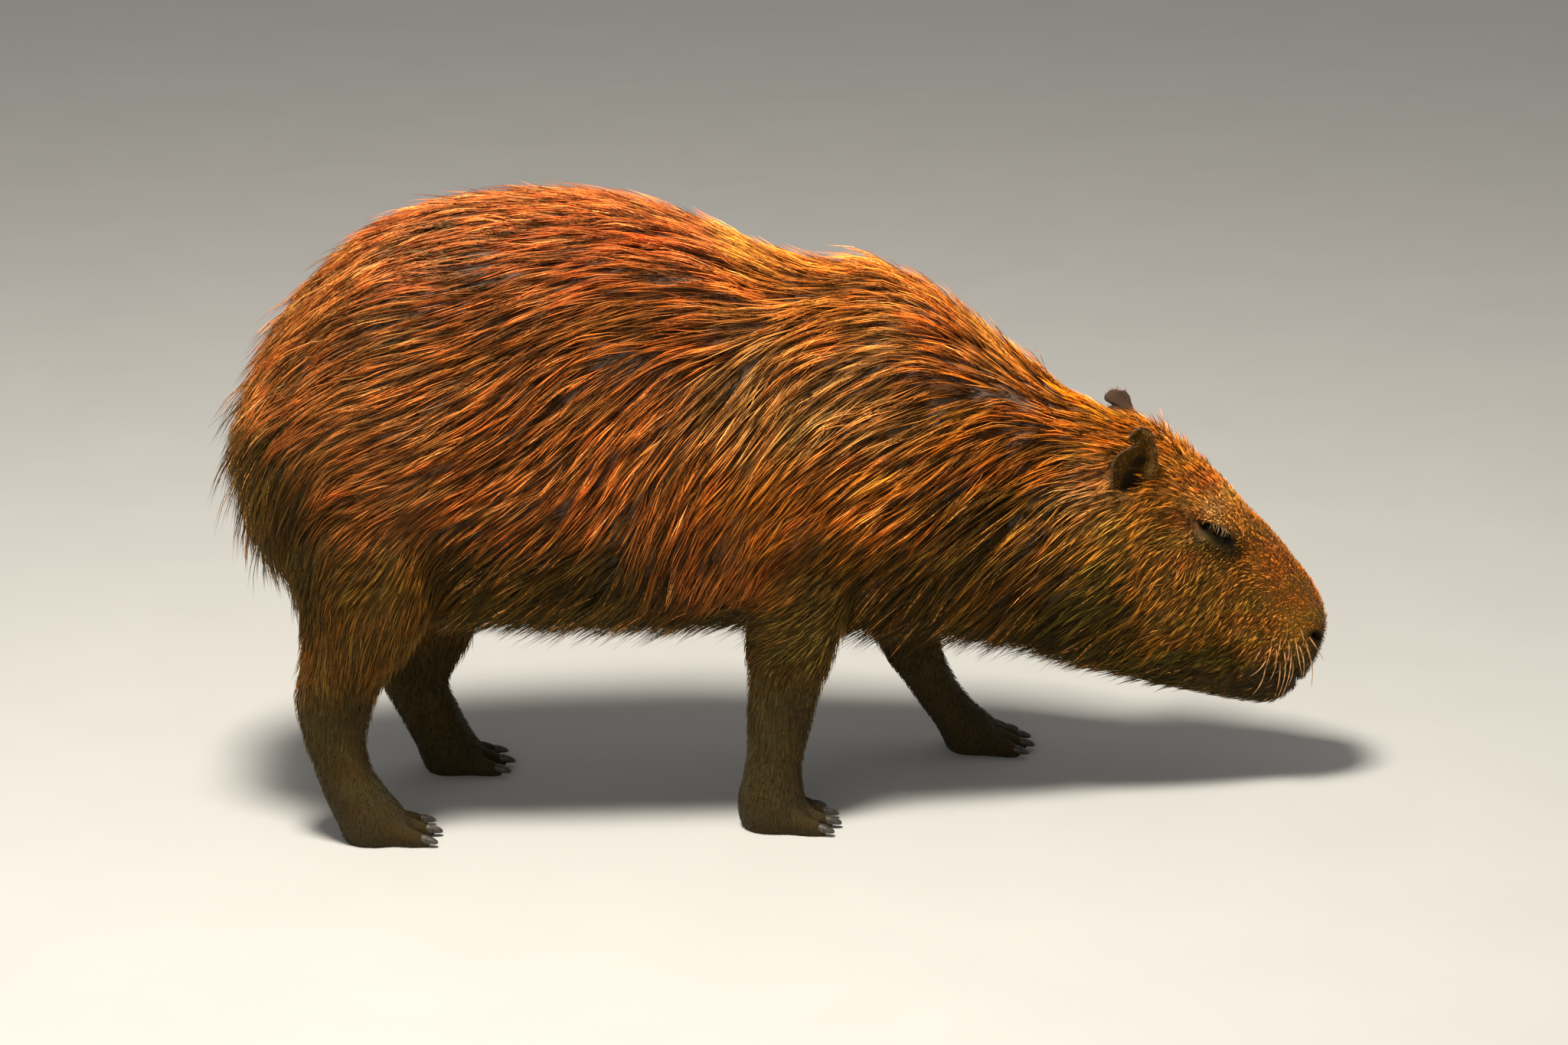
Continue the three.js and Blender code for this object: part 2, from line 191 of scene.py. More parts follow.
def joined_flesh():
    """Every length of flesh, swelled a little so that the thin cuts between them close."""
    whole = bmesh.new()
    for thing in FLESH.values():
        part = bmesh.new()
        part.from_mesh(thing.data)
        bmesh.ops.remove_doubles(part, verts=part.verts, dist=1e-6)
        part.normal_update()
        for vertex in part.verts:
            vertex.co += vertex.normal * OVERLAP
        swelled = bpy.data.meshes.new("swelled")
        part.to_mesh(swelled)
        part.free()
        whole.from_mesh(swelled)
    mesh = bpy.data.meshes.new("hide")
    whole.to_mesh(mesh)
    whole.free()
    return mesh


def nearest_groups(points):
    """The name of the length of flesh nearest to each point."""
    corners, faces, owners = [], [], []
    start = 0
    for node, thing in FLESH.items():
        corners.append(mesh_points(thing.data))
        faces.extend([tuple(start + v for v in face.vertices) for face in thing.data.polygons])
        owners.extend([group_of(node)] * len(thing.data.polygons))
        start += len(thing.data.vertices)
    tree = BVHTree.FromPolygons(np.concatenate(corners).tolist(), faces)
    return np.array([owners[tree.find_nearest(Vector(p))[2]] for p in points])


hide = add_object("hide", joined_flesh())
melt = hide.modifiers.new("melt", "REMESH")
melt.mode = "VOXEL"
melt.voxel_size = HIDE_MESH_SIZE
hide_mesh = with_modifiers(hide)
set_points(hide_mesh, evened(mesh_points(hide_mesh), mesh_edges(hide_mesh), MELT_ROUNDS))

# Fine faces stay on head and feet, and the trunk gets by with fewer
HEAD_FROM, FEET_UP_TO = (0.26, 0.34), (0.06, 0.12)
FINE_LEVELS, FINE_WEIGHT = 10, 3.0
points = mesh_points(hide_mesh)
fine_head = ease(points[:, 0], *HEAD_FROM)
fine_feet = 1 - ease(points[:, 2], *FEET_UP_TO)
keep_group = hide.vertex_groups.new(name="fine")
fineness = np.round(np.maximum(fine_head, fine_feet) * FINE_LEVELS).astype(int)
for level in range(FINE_LEVELS + 1):
    chosen = np.nonzero(fineness == level)[0].tolist()
    keep_group.add(chosen, level / FINE_LEVELS, "REPLACE")
thin = hide.modifiers.new("thin", "DECIMATE")
thin.ratio = HIDE_TRIANGLES / (2 * len(hide_mesh.polygons))
thin.vertex_group = "fine"
thin.invert_vertex_group = True
thin.vertex_group_factor = FINE_WEIGHT
hide_mesh = with_modifiers(hide)

# The coat's depth comes off all round, blended where one length of the body passes into the next
FACE_GROUPS = ("head", "lower_jaw", "eye")
HEAD_STRAND_MM = ((0.26, 66), (0.31, 54), (0.36, 40), (0.41, 29), (0.46, 18), (0.51, 10), (0.56, 6))
# The hair is shorter on the forehead, above a line that slopes down towards the nose, than on the cheeks
FOREHEAD_CUT, FOREHEAD_LINE = 0.30, 0.80
FOREHEAD_EDGE, FOREHEAD_FROM = (-0.13, -0.09), (0.36, 0.42)
BLEND_ROUNDS = 160


def coat_plan(mesh):
    """Depth of the coat and length of its hair at each vertex, and the length of the body it is on."""
    points = mesh_points(mesh)
    groups = nearest_groups(points)
    depth = np.array([COAT[g][0] * MM for g in groups])
    strand = np.array([COAT[g][1] * MM for g in groups])
    on_face = np.isin(groups, FACE_GROUPS)
    stations, lengths = zip(*HEAD_STRAND_MM)
    strand[on_face] = np.interp(points[on_face, 0], stations, lengths) * MM
    above_line = points[:, 2] - (FOREHEAD_LINE - points[:, 0])
    forehead = on_face * ease(above_line, *FOREHEAD_EDGE) * ease(points[:, 0], *FOREHEAD_FROM)
    strand *= 1 - FOREHEAD_CUT * forehead
    return evened(np.stack([depth, strand], axis=1), mesh_edges(mesh), BLEND_ROUNDS), groups


LET_IN_ROUNDS, LET_IN_SHARE = 4, 0.4
planned = coat_plan(hide_mesh)[0]
outer, outward = mesh_points(hide_mesh), mesh_normals(hide_mesh)
let_in = evened(outer - outward * planned[:, :1], mesh_edges(hide_mesh), LET_IN_ROUNDS, LET_IN_SHARE)
# The soles have no hair and rest flat on the floor
SOLE_HEIGHT, SOLE_FACING = (1.5 * MM, 5 * MM), (0.5, 0.8)
sole = (1 - ease(outer[:, 2], *SOLE_HEIGHT)) * ease(-outward[:, 2], *SOLE_FACING)
let_in[:, 2] = np.maximum(let_in[:, 2] * (1 - sole), 0)
set_points(hide_mesh, let_in)

# Fine faces for nostrils and mouth
NOSTRIL, NOSTRIL_FINE = (0.5425, 0.0445, 0.166), 0.018
MOUTH_LINE = ((0.478, 0.131), (0.505, 0.124), (0.530, 0.113), (0.545, 0.109))
MOUTH_FINE, MOUTH_FROM = 0.007, 0.46


def distance_to_line(points, line):
    """How far points of the side view are from a line through several corners."""
    best = np.full(len(points), 1e9)
    for start, end in zip(line[:-1], line[1:]):
        start = np.array(start)
        run = np.array(end) - start
        share = np.clip((points - start) @ run / (run @ run), 0, 1)
        best = np.minimum(best, np.linalg.norm(points - start - share[:, None] * run, axis=1))
    return best


def split_faces(mesh, wanted, cuts):
    """Divides the edges of the faces whose corners are all wanted."""
    work = bmesh.new()
    work.from_mesh(mesh)
    work.verts.ensure_lookup_table()
    faces = [f for f in work.faces if all(wanted[v.index] for v in f.verts)]
    found = {e for f in faces for e in f.edges}
    bmesh.ops.subdivide_edges(work, edges=list(found), cuts=cuts, use_grid_fill=True)
    bmesh.ops.triangulate(work, faces=[f for f in work.faces if len(f.verts) > 4])
    work.to_mesh(mesh)
    work.free()


def on_one_side(points):
    """Places with the two sides of the animal laid over each other."""
    return np.stack([points[:, 0], np.abs(points[:, 1]), points[:, 2]], axis=1)


def near_face_detail(points):
    """True at the nostrils and along the mouth."""
    nostril = np.linalg.norm(on_one_side(points) - NOSTRIL, axis=1) < NOSTRIL_FINE
    mouth = (distance_to_line(points[:, (0, 2)], MOUTH_LINE) < MOUTH_FINE) & (points[:, 0] > MOUTH_FROM)
    return nostril | mouth


split_faces(hide_mesh, near_face_detail(mesh_points(hide_mesh)), 2)
hide_mesh.update()

# Broad forms of the head: place on the side view and away from the middle, spread and height
HEAD_FORMS = (
    ("brow", (0.424, 0.060, 0.306), 0.019, 3.2),
    ("cheekbone", (0.436, 0.068, 0.258), 0.020, 2.0),
    ("hollow before the eye", (0.470, 0.058, 0.268), 0.017, -3.0),
    ("jaw muscle", (0.372, 0.084, 0.205), 0.050, 4.0),
    ("hollow behind the cheek", (0.430, 0.070, 0.200), 0.030, -1.5),
    ("whisker pad", (0.512, 0.046, 0.150), 0.026, 3.5),
    ("nostril wing", (0.536, 0.043, 0.174), 0.011, 2.6),
    ("chin", (0.500, 0.012, 0.092), 0.020, 2.0),
    ("nape between the ears", (0.335, 0.000, 0.398), 0.026, -7.0),
    ("crest behind the ears", (0.262, 0.000, 0.446), 0.024, 6.5),
    ("bridge of the nose", (0.480, 0.000, 0.300), 0.020, -5.5),
)


def swell(points, normals, centre, spread, height):
    """A soft rise, or a hollow if height is negative, in millimetres, on both sides of the animal."""
    share = hump(np.linalg.norm(on_one_side(points) - centre, axis=1), spread)
    return points + normals * (share * height * MM)[:, None]


points = mesh_points(hide_mesh)
for name, centre, spread, height in HEAD_FORMS:
    points = swell(points, mesh_normals(hide_mesh), centre, spread, height)
set_points(hide_mesh, points)

# Nostrils are slanting commas that run in and back, and the lips meet in a fold
NOSTRIL_LENGTH, NOSTRIL_WIDTH, NOSTRIL_DEPTH = 7.5 * MM, 4.2 * MM, 9 * MM
NOSTRIL_SLANT, NOSTRIL_CURVE = (-0.75, 0.35, 0.55), 9.0
NOSTRIL_RIM_MM, NOSTRIL_BACK_MM = 1.1, 2.5
NOSTRIL_NEAR, BARE_NEAR = 0.02, 0.03
LIP_FOLD_DEPTH, LIP_FOLD_WIDTH, LIPS_FROM = 4.5 * MM, 2.2 * MM, (0.474, 0.492)
CLEFT_WIDTH, CLEFT_DEPTH_MM = 1.6 * MM, 2.2
CLEFT_FROM, CLEFT_TOP = (0.528, 0.545), (0.146, 0.156)
BARE_NOSE, NOSE_FROM, NOSE_TOP = 0.55, (0.528, 0.550), (0.156, 0.178)
points = mesh_points(hide_mesh)
normals = mesh_normals(hide_mesh)
bare = np.zeros(len(points))
# How deep in a pit or fold each point lies, where the hide is darkened as painted shade
hollow = np.zeros(len(points))
for side in (RIGHT, LEFT):
    centre = np.array(NOSTRIL) * (1, side, 1)
    nearest = int(np.argmin(np.linalg.norm(points - centre, axis=1)))
    out = normals[nearest]
    slant = unit(np.array(NOSTRIL_SLANT) * (1, side, 1))
    slant = unit(slant - out * (slant @ out))
    over = np.cross(out, slant)
    away = points - points[nearest]
    along, across = away @ slant, away @ over
    bent = across + NOSTRIL_CURVE * along ** 2 * side
    reach = np.hypot(along / NOSTRIL_LENGTH, bent / NOSTRIL_WIDTH)
    apart = np.linalg.norm(away, axis=1)
    pit = (1 - ease(reach, 0.45, 1.0)) * (apart < NOSTRIL_NEAR)
    rim = hump(reach - 1.25, 0.25) * (apart < NOSTRIL_NEAR)
    points += out * (rim * NOSTRIL_RIM_MM * MM - pit * NOSTRIL_DEPTH)[:, None]
    points += slant * (pit * NOSTRIL_BACK_MM * MM)[:, None]
    # The nostril's pit gets painted shade
    hollow = np.maximum(hollow, pit)
    bare = np.maximum(bare, (1 - ease(reach, 1.2, 2.6)) * (apart < BARE_NEAR))
from_mouth = distance_to_line(points[:, (0, 2)], MOUTH_LINE)
lips = hump(from_mouth, LIP_FOLD_WIDTH) * ease(points[:, 0], *LIPS_FROM)
points -= normals * (lips * LIP_FOLD_DEPTH)[:, None]
# So does the fold of the lips
hollow = np.maximum(hollow, lips * 0.9)
cleft = hump(points[:, 1], CLEFT_WIDTH) * ease(points[:, 0], *CLEFT_FROM)
cleft *= 1 - ease(points[:, 2], *CLEFT_TOP)
points -= normals * (cleft * CLEFT_DEPTH_MM * MM)[:, None]
muzzle_end = ease(points[:, 0], *NOSE_FROM) * (1 - ease(points[:, 2], *NOSE_TOP))
bare = np.maximum(bare, muzzle_end * BARE_NOSE)

# Each eye looks outwards and a little up and forwards, and its slit slopes down to the tear duct in front
EYE_RADIUS = (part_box("eye_right")[1].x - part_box("eye_right")[0].x) / 2
EYE_LOOK, EYE_SLOPE = (0.10, 1, 0.16), math.radians(-30)
PIT_LENGTH, PIT_HEIGHT, PIT_FLOOR, PIT_EDGE = 20 * MM, 14.5 * MM, 1 * MM, (0.72, 1.0)
LID_REACH, LID_BED, LID_BED_EDGE = (33 * MM, 19 * MM), 3 * MM, (0.72, 0.92)
HAIRLESS_EDGE, PIT_SHADE = (0.80, 0.90), 0.6
# Only what lies no further in than this from the middle of an eye is on that eye's side of the head
EYE_SIDE = -0.02


def eye_frame(side):
    """Middle of an eye, and its directions outwards, forwards along the slit and upwards."""
    low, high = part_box("eye_right" if side == RIGHT else "eye_left")
    out = unit(np.array(EYE_LOOK) * (1, side, 1))
    front = np.array((math.cos(EYE_SLOPE), 0.0, math.sin(EYE_SLOPE)))
    front = unit(front - out * (front @ out))
    up = np.cross(out, front) * -side
    return np.array((low + high) / 2), out, front, up


def surface_of(points, mesh):
    """A mesh's surface, ready to be searched for its nearest place or hit by a line."""
    return BVHTree.FromPolygons(points.tolist(), [tuple(f.vertices) for f in mesh.polygons])


face_before_pits = surface_of(points, hide_mesh)
in_pit = np.zeros(len(points))
for side in (RIGHT, LEFT):
    centre, out, front, up = eye_frame(side)
    away = points - centre
    along, across, height = away @ front, away @ up, away @ out
    reach = np.hypot(along / PIT_LENGTH, across / PIT_HEIGHT)
    pit = (1 - ease(reach, *PIT_EDGE)) * (height > EYE_SIDE)
    points += out * (pit * np.minimum(PIT_FLOOR - height, 0))[:, None]
    # Under the rest of the lids the hide lies lower, so that their folds show
    lid_reach = np.hypot(along / LID_REACH[0], across / LID_REACH[1])
    under_lid = (1 - ease(lid_reach, *LID_BED_EDGE)) * (height > EYE_SIDE)
    points -= out * (under_lid * (1 - pit) * LID_BED)[:, None]
    in_pit = np.maximum(in_pit, (1 - ease(lid_reach, *HAIRLESS_EDGE)) * (height > EYE_SIDE))

# Each ear opens over a hollow in the head, darkened there with painted shade
EAR_HOLLOW, EAR_HOLLOW_EDGE = (0.342, 0.075, 0.346), (0.4, 1.15)
EAR_HOLLOW_SIZE, EAR_HOLLOW_DEPTH = 18 * MM, 15 * MM
for side in (RIGHT, LEFT):
    from_middle = np.linalg.norm(points - np.array(EAR_HOLLOW) * (1, side, 1), axis=1) / EAR_HOLLOW_SIZE
    pit = 1 - ease(from_middle, *EAR_HOLLOW_EDGE)
    points[:, 1] -= side * pit * EAR_HOLLOW_DEPTH
    hollow = np.maximum(hollow, ease(pit, 0.1, 0.8))
bare = np.maximum(bare, in_pit)
hollow = np.maximum(hollow, in_pit * PIT_SHADE)
set_points(hide_mesh, points)

# Eyelids
# The lids are the rim of the hide, drawn over the eyeball: thick, dark and nearly hairless, half closed,
# with a heavy upper lid, a crease running back from the outer corner and a tear duct in front.
LID_TURNS, LID_RINGS, RING_CROWDING = 64, 18, 1.35
SLIT_HALF_LENGTH, SLIT_SHIFT = 15.5 * MM, 0.8 * MM
SLIT_UP, SLIT_DOWN, SLIT_ARCH, SLIT_CORNERS = 6.6 * MM, 4.2 * MM, 0.25, 1.15
LID_OVER_EYE, LID_THICKNESS, LEAST_LID_HEIGHT = 0.25 * MM, 1.7 * MM, 3.0 * MM
UPPER_LID_BULGE, LOWER_LID_BULGE, LID_MELT = 0.5 * MM, 0.1 * MM, 1.3
# Shares of the way from the slit out to the edge of the lids
UPPER_LID_BARE, LOWER_LID_BARE = (0.02, 0.14), (0.08, 0.36)
# The rims of the lids are dark skin; the wider dark band on the lower lid is painted shade
UPPER_RIM_DARK, LOWER_RIM_DARK, RIM_DARKNESS = (0.05, 0.22), (0.12, 0.60), 0.95
LID_CREASES, CREASE_WIDTH = ((0.30, 0.55), (0.46, 0.45), (0.62, 0.3)), 0.035
REAR_CREASE_MM, DUCT_MM = 2.6, 1.4
LOOK_FROM = 0.04


def height_of_hide(side, along, across):
    """How far out from the middle of an eye the hide lies at places beside it."""
    centre, out, front, up = eye_frame(side)
    heights = []
    for a, b in zip(along, across):
        start = Vector(centre + front * a + up * b + out * LOOK_FROM)
        hit = face_before_pits.ray_cast(start, Vector(-out))[0]
        heights.append((np.array(hit) - centre) @ out)
    return np.array(heights)


def lid_points(side):
    """Rings of points from slit to hide, with how bare each is and how dark: dark rims, painted shade."""
    centre, out, front, up = eye_frame(side)
    turn = np.linspace(0, 2 * math.pi, LID_TURNS, endpoint=False)
    cos, sin = np.cos(turn), np.sin(turn)
    upper = sin > 0
    slit_along = SLIT_HALF_LENGTH * cos + SLIT_SHIFT
    opening = np.where(upper, SLIT_UP * (1 + SLIT_ARCH * cos), SLIT_DOWN * (1 - SLIT_ARCH * cos))
    slit_across = opening * np.sign(sin) * np.abs(sin) ** SLIT_CORNERS
    outer_along, outer_across = LID_REACH[0] * cos, LID_REACH[1] * sin
    over_eye = (EYE_RADIUS + LID_OVER_EYE) ** 2 - slit_along ** 2 - slit_across ** 2
    slit_height = np.sqrt(np.maximum(over_eye, LEAST_LID_HEIGHT ** 2))
    places, bareness, dark = [], [], []
    for ring in range(LID_RINGS + 1):
        share = (ring / LID_RINGS) ** RING_CROWDING
        along = mingled(slit_along, outer_along, share)
        across = mingled(slit_across, outer_across, share)
        on_hide = height_of_hide(side, along, across) + (0.35 - 1.1 * ease(share, 0.90, 1.0)) * MM
        flat = mingled(slit_height, on_hide, ease(share, 0.0, 0.5))
        over = np.sqrt(np.maximum((EYE_RADIUS + LID_THICKNESS) ** 2 - along ** 2 - across ** 2, 0))
        over *= 1 - ease(share, 0.55, 1.0)
        height = np.log(np.exp(flat / MM * LID_MELT) + np.exp(over / MM * LID_MELT)) / LID_MELT * MM
        height += (1 - ease(share, 0.0, 0.9)) * np.where(upper, UPPER_LID_BULGE, LOWER_LID_BULGE)
        for at, deep in LID_CREASES:
            height -= hump(share - at, CREASE_WIDTH) * deep * MM * np.clip(0.3 + sin, 0, 1)
        rear_crease = hump(sin - 0.10, 0.17) * np.clip(-cos * 3 - 1.6, 0, 1)
        rear_crease = rear_crease * (1 - ease(share, 0.66, 0.90))
        duct = hump(sin + 0.12, 0.34) * (cos > 0) * (1 - ease(share, 0.50, 0.95))
        height -= rear_crease * REAR_CREASE_MM * MM + duct * DUCT_MM * MM
        if ring == 0:
            height = slit_height
        height = mingled(height, on_hide, ease(share, 0.86, 1.0))
        places.append(centre + np.outer(along, front) + np.outer(across, up) + np.outer(height, out))
        lid_bare = np.where(upper, 1 - ease(share, *UPPER_LID_BARE), 1 - ease(share, *LOWER_LID_BARE))
        folds_bare = (rear_crease * 0.8 + duct * 0.7) * (1 - ease(share, 0.40, 0.70))
        bareness.append(np.clip(lid_bare + folds_bare, 0, 1))
        # Dark skin at the rims; the darkening of crease, tear duct and the wide band under the eye is
        # painted shade
        rim_dark = np.where(upper, 1 - ease(share, *UPPER_RIM_DARK), 1 - ease(share, *LOWER_RIM_DARK))
        dark.append(np.clip(rear_crease * 1.3 + duct + RIM_DARKNESS * rim_dark, 0, 1))
    return np.concatenate(places), np.concatenate(bareness), np.concatenate(dark)


def tube_faces(rings, count):
    """Four-sided faces between rings that each go round once."""
    faces = []
    for ring in range(rings - 1):
        for i in range(count):
            a = ring * count + i
            b = ring * count + (i + 1) % count
            faces.append((a, b, b + count, a + count))
    return faces


extra_points, extra_faces, extra_state = [], [], []


def add_to_hide(places, faces, turned, *state):
    """Puts a lid or an ear by for the hide, its faces turned over where they would look inwards.

    The state is how bare, how dark, how much ear and how much inner side of an ear each point is.
    """
    first = sum(len(earlier) for earlier in extra_points)
    for face in faces:
        face = tuple(first + v for v in face)
        extra_faces.append(face[::-1] if turned else face)
    extra_points.append(places)
    # Their darkness is the dark rims of the lids and painted shade in folds, holes and the ear's cup
    extra_state.append(np.stack(state, axis=1))


for side in (RIGHT, LEFT):
    places, bareness, dark = lid_points(side)
    no_ear = np.zeros(len(places))
    faces = tube_faces(LID_RINGS + 1, LID_TURNS)
    add_to_hide(places, faces, side == RIGHT, bareness, dark, no_ear, no_ear)

# Ears
# Each ear is a short leathery cup of skin over gristle that opens outwards and forwards. Its front rim rolls
# in, a notch parts the tip from the broad rear lobe, and its foot is sunk in the head.
EAR_ROOT = (0.337, 0.064, 0.3285)
EAR_LEAN, EAR_FORWARD, EAR_TURN = 0.08, 0.10, math.radians(14)
EAR_TALL, EAR_WIDE = 1.11, 1.19
# Outline in millimetres: height above the root, reach to the rear and reach to the front. The notch is where
# the reach to the rear falls below nothing.
EAR_OUTLINE = (
    (-16, 12, 7), (-6, 15, 8), (0, 17, 9.5), (8, 17.8, 13), (16, 18.4, 18), (24, 19.2, 22), (30, 19.5, 24),
    (36, 18.8, 24), (40, 17.4, 23.6), (43, 14, 23), (46, 9.5, 22), (48.5, 5, 21), (50.5, 1.2, 20.2),
    (51.8, -1.4, 19.6), (53.0, -0.2, 19.0), (54.6, 4.4, 18.2), (57.0, 6.8, 17.2), (60.5, 6.6, 16.0),
    (63.5, 4.2, 14.4), (65.3, 2.4, 12.8), (66.4, 0.4, 11.4), (67, -2, 9.6),
)
EAR_LEVELS, EAR_STEPS, EAR_TOP = 60, 56, 67
# Heights between which a quarter of the levels stand each time, closest in the tip
EAR_QUARTERS = (-16, 8, 34, 55, EAR_TOP)
ROW_ENDS = (0.96, 0.04)
EAR_THICKNESS, EAR_RIM_THICKNESS = 3.4 * MM, 0.9 * MM
EAR_CUP_REAR, EAR_CUP_FRONT, EAR_TIP_CURL = 10 * MM, 8 * MM, 3 * MM
EAR_TUCK = 11 * MM
# Holes and ridges of the cup in millimetres: middle across and up, size across and up
CANAL, UPPER_HOLLOW = ((6, 10), (6, 12)), ((11, 34), (5, 3.2))
CROSS_RIDGE, UPRIGHT_RIDGE = ((8, 26), (8, 2.0)), ((4, 44), (2.2, 8))
RIDGE_MM, HOLE_MM, HOLE_BEHIND_MM = 3.0, 8.5, 7.5
FRONT_BAND_MM, REAR_BAND_MM = 5.0, 1.5


def spot(across, height, middle, size):
    """A soft spot on the ear, in millimetres across and up."""
    return np.exp(-0.5 * (((across - middle[0]) / size[0]) ** 2 + ((height - middle[1]) / size[1]) ** 2))


def ear_points(side):
    """Rings of points up one ear, over its hollow and back outside, with painted shade and inner side."""
    up = unit(np.array((EAR_FORWARD, side * EAR_LEAN, 1)))
    face = np.array((math.sin(EAR_TURN), side * math.cos(EAR_TURN), 0))
    front = unit(np.cross(up, face)) * -side
    face = unit(np.cross(front, up)) * -side
    heights, rears, fronts = np.array(EAR_OUTLINE).T
    level = np.linspace(0, 1, EAR_LEVELS + 1)
    height = np.interp(level, np.linspace(0, 1, len(EAR_QUARTERS)), EAR_QUARTERS)
    rear, fore = np.interp(height, heights, rears), np.interp(height, heights, fronts)
    half = EAR_STEPS // 2
    row = np.cos(np.linspace(math.pi * ROW_ENDS[0], math.pi * ROW_ENDS[1], half))
    share = np.concatenate([row, row[::-1]])[None, :]
    inner = np.concatenate([np.ones(half), np.zeros(half)])[None, :]
    height = np.broadcast_to(height[:, None], (EAR_LEVELS + 1, EAR_STEPS))
    reach = (rear + fore)[:, None] / 2
    across = (fore - rear)[:, None] / 2 + share * reach
    high = np.clip(height / EAR_TOP, 0, 1)
    from_edge = np.minimum((1 - np.abs(share)) * reach, (68.5 - height) * 0.8)
    cup = np.where(share < 0, EAR_CUP_REAR, EAR_CUP_FRONT) * np.abs(share) ** 1.8 * (1 - 0.35 * high)
    cup += EAR_TIP_CURL * ease(high, 0.75, 1.0) - EAR_TUCK * ease(4 - height, 0, 18)
    thick = EAR_THICKNESS * (1.45 - 0.75 * high) * (1 - np.abs(share) ** 8) + EAR_RIM_THICKNESS
    # The front rim rolls in as a broad band and the rear rim as a narrow one
    band = np.exp(-((from_edge - 4.5) / 3.0) ** 2) * FRONT_BAND_MM
    band *= ease(share, -0.2, 0.5)
    band *= ease(height, 8, 24)
    rear_band = np.exp(-((from_edge - 2.0) / 1.5) ** 2) * REAR_BAND_MM
    band = np.maximum(band, rear_band) * ease(68 - height, 1, 8)
    hole = spot(across, height, *CANAL) + 0.5 * spot(across, height, *UPPER_HOLLOW)
    ridge = spot(across, height, *CROSS_RIDGE) + 0.8 * spot(across, height, *UPRIGHT_RIDGE)
    relief = np.where(inner > 0, ridge * RIDGE_MM + band - hole * HOLE_MM, -hole * HOLE_BEHIND_MM)
    outwards = cup + (inner - 0.5) * thick + relief * MM
    root = np.array(EAR_ROOT) * (1, side, 1)
    places = root + np.multiply.outer(height * EAR_TALL * MM, up)
    places += np.multiply.outer(across * EAR_WIDE * MM, front) + np.multiply.outer(outwards, face)
    front_skin = 0.35 * ease(across, 10, 18)
    # Painted shade: the inner side is darkened, most in its holes and least on its ridges, rolled rims and
    # front
    dark = np.clip(hole * 2.0 + 0.35 - front_skin - ridge * 0.5 - band * 0.03, 0, 1) * inner
    dark *= ease(from_edge, 0.6, 2.4)
    rim_share = inner * (1 - 0.8 * np.exp(-(from_edge / 2.0) ** 2) - 0.05 * band)
    return places.reshape(-1, 3), dark.ravel(), rim_share.ravel()


for side in (RIGHT, LEFT):
    places, dark, inner = ear_points(side)
    faces = tube_faces(EAR_LEVELS + 1, EAR_STEPS)
    last = EAR_LEVELS * EAR_STEPS
    faces.append(tuple(range(EAR_STEPS))[::-1])
    faces.append(tuple(range(last, last + EAR_STEPS)))
    all_ear = np.ones(len(places))
    add_to_hide(places, faces, side == LEFT, all_ear, dark, all_ear, inner)

# Hide, lids and ears become one piece, which stands for every length of flesh
start = len(hide_mesh.vertices)
all_points = np.concatenate([mesh_points(hide_mesh), *extra_points])
all_faces = [tuple(f.vertices) for f in hide_mesh.polygons]
all_faces += [tuple(start + v for v in f) for f in extra_faces]
whole_mesh = bpy.data.meshes.new("hide_whole")
whole_mesh.from_pydata(all_points.tolist(), [], all_faces)
whole_mesh.update()
hide.data = whole_mesh
hide_mesh = whole_mesh
smooth_shaded(hide_mesh)
body_state = np.stack([bare, hollow, np.zeros(start), np.zeros(start)], axis=1)
bare, hollow, is_ear, ear_inside = np.concatenate([body_state, *extra_state]).T
in_pit = np.concatenate([in_pit, np.zeros(len(all_points) - start)])

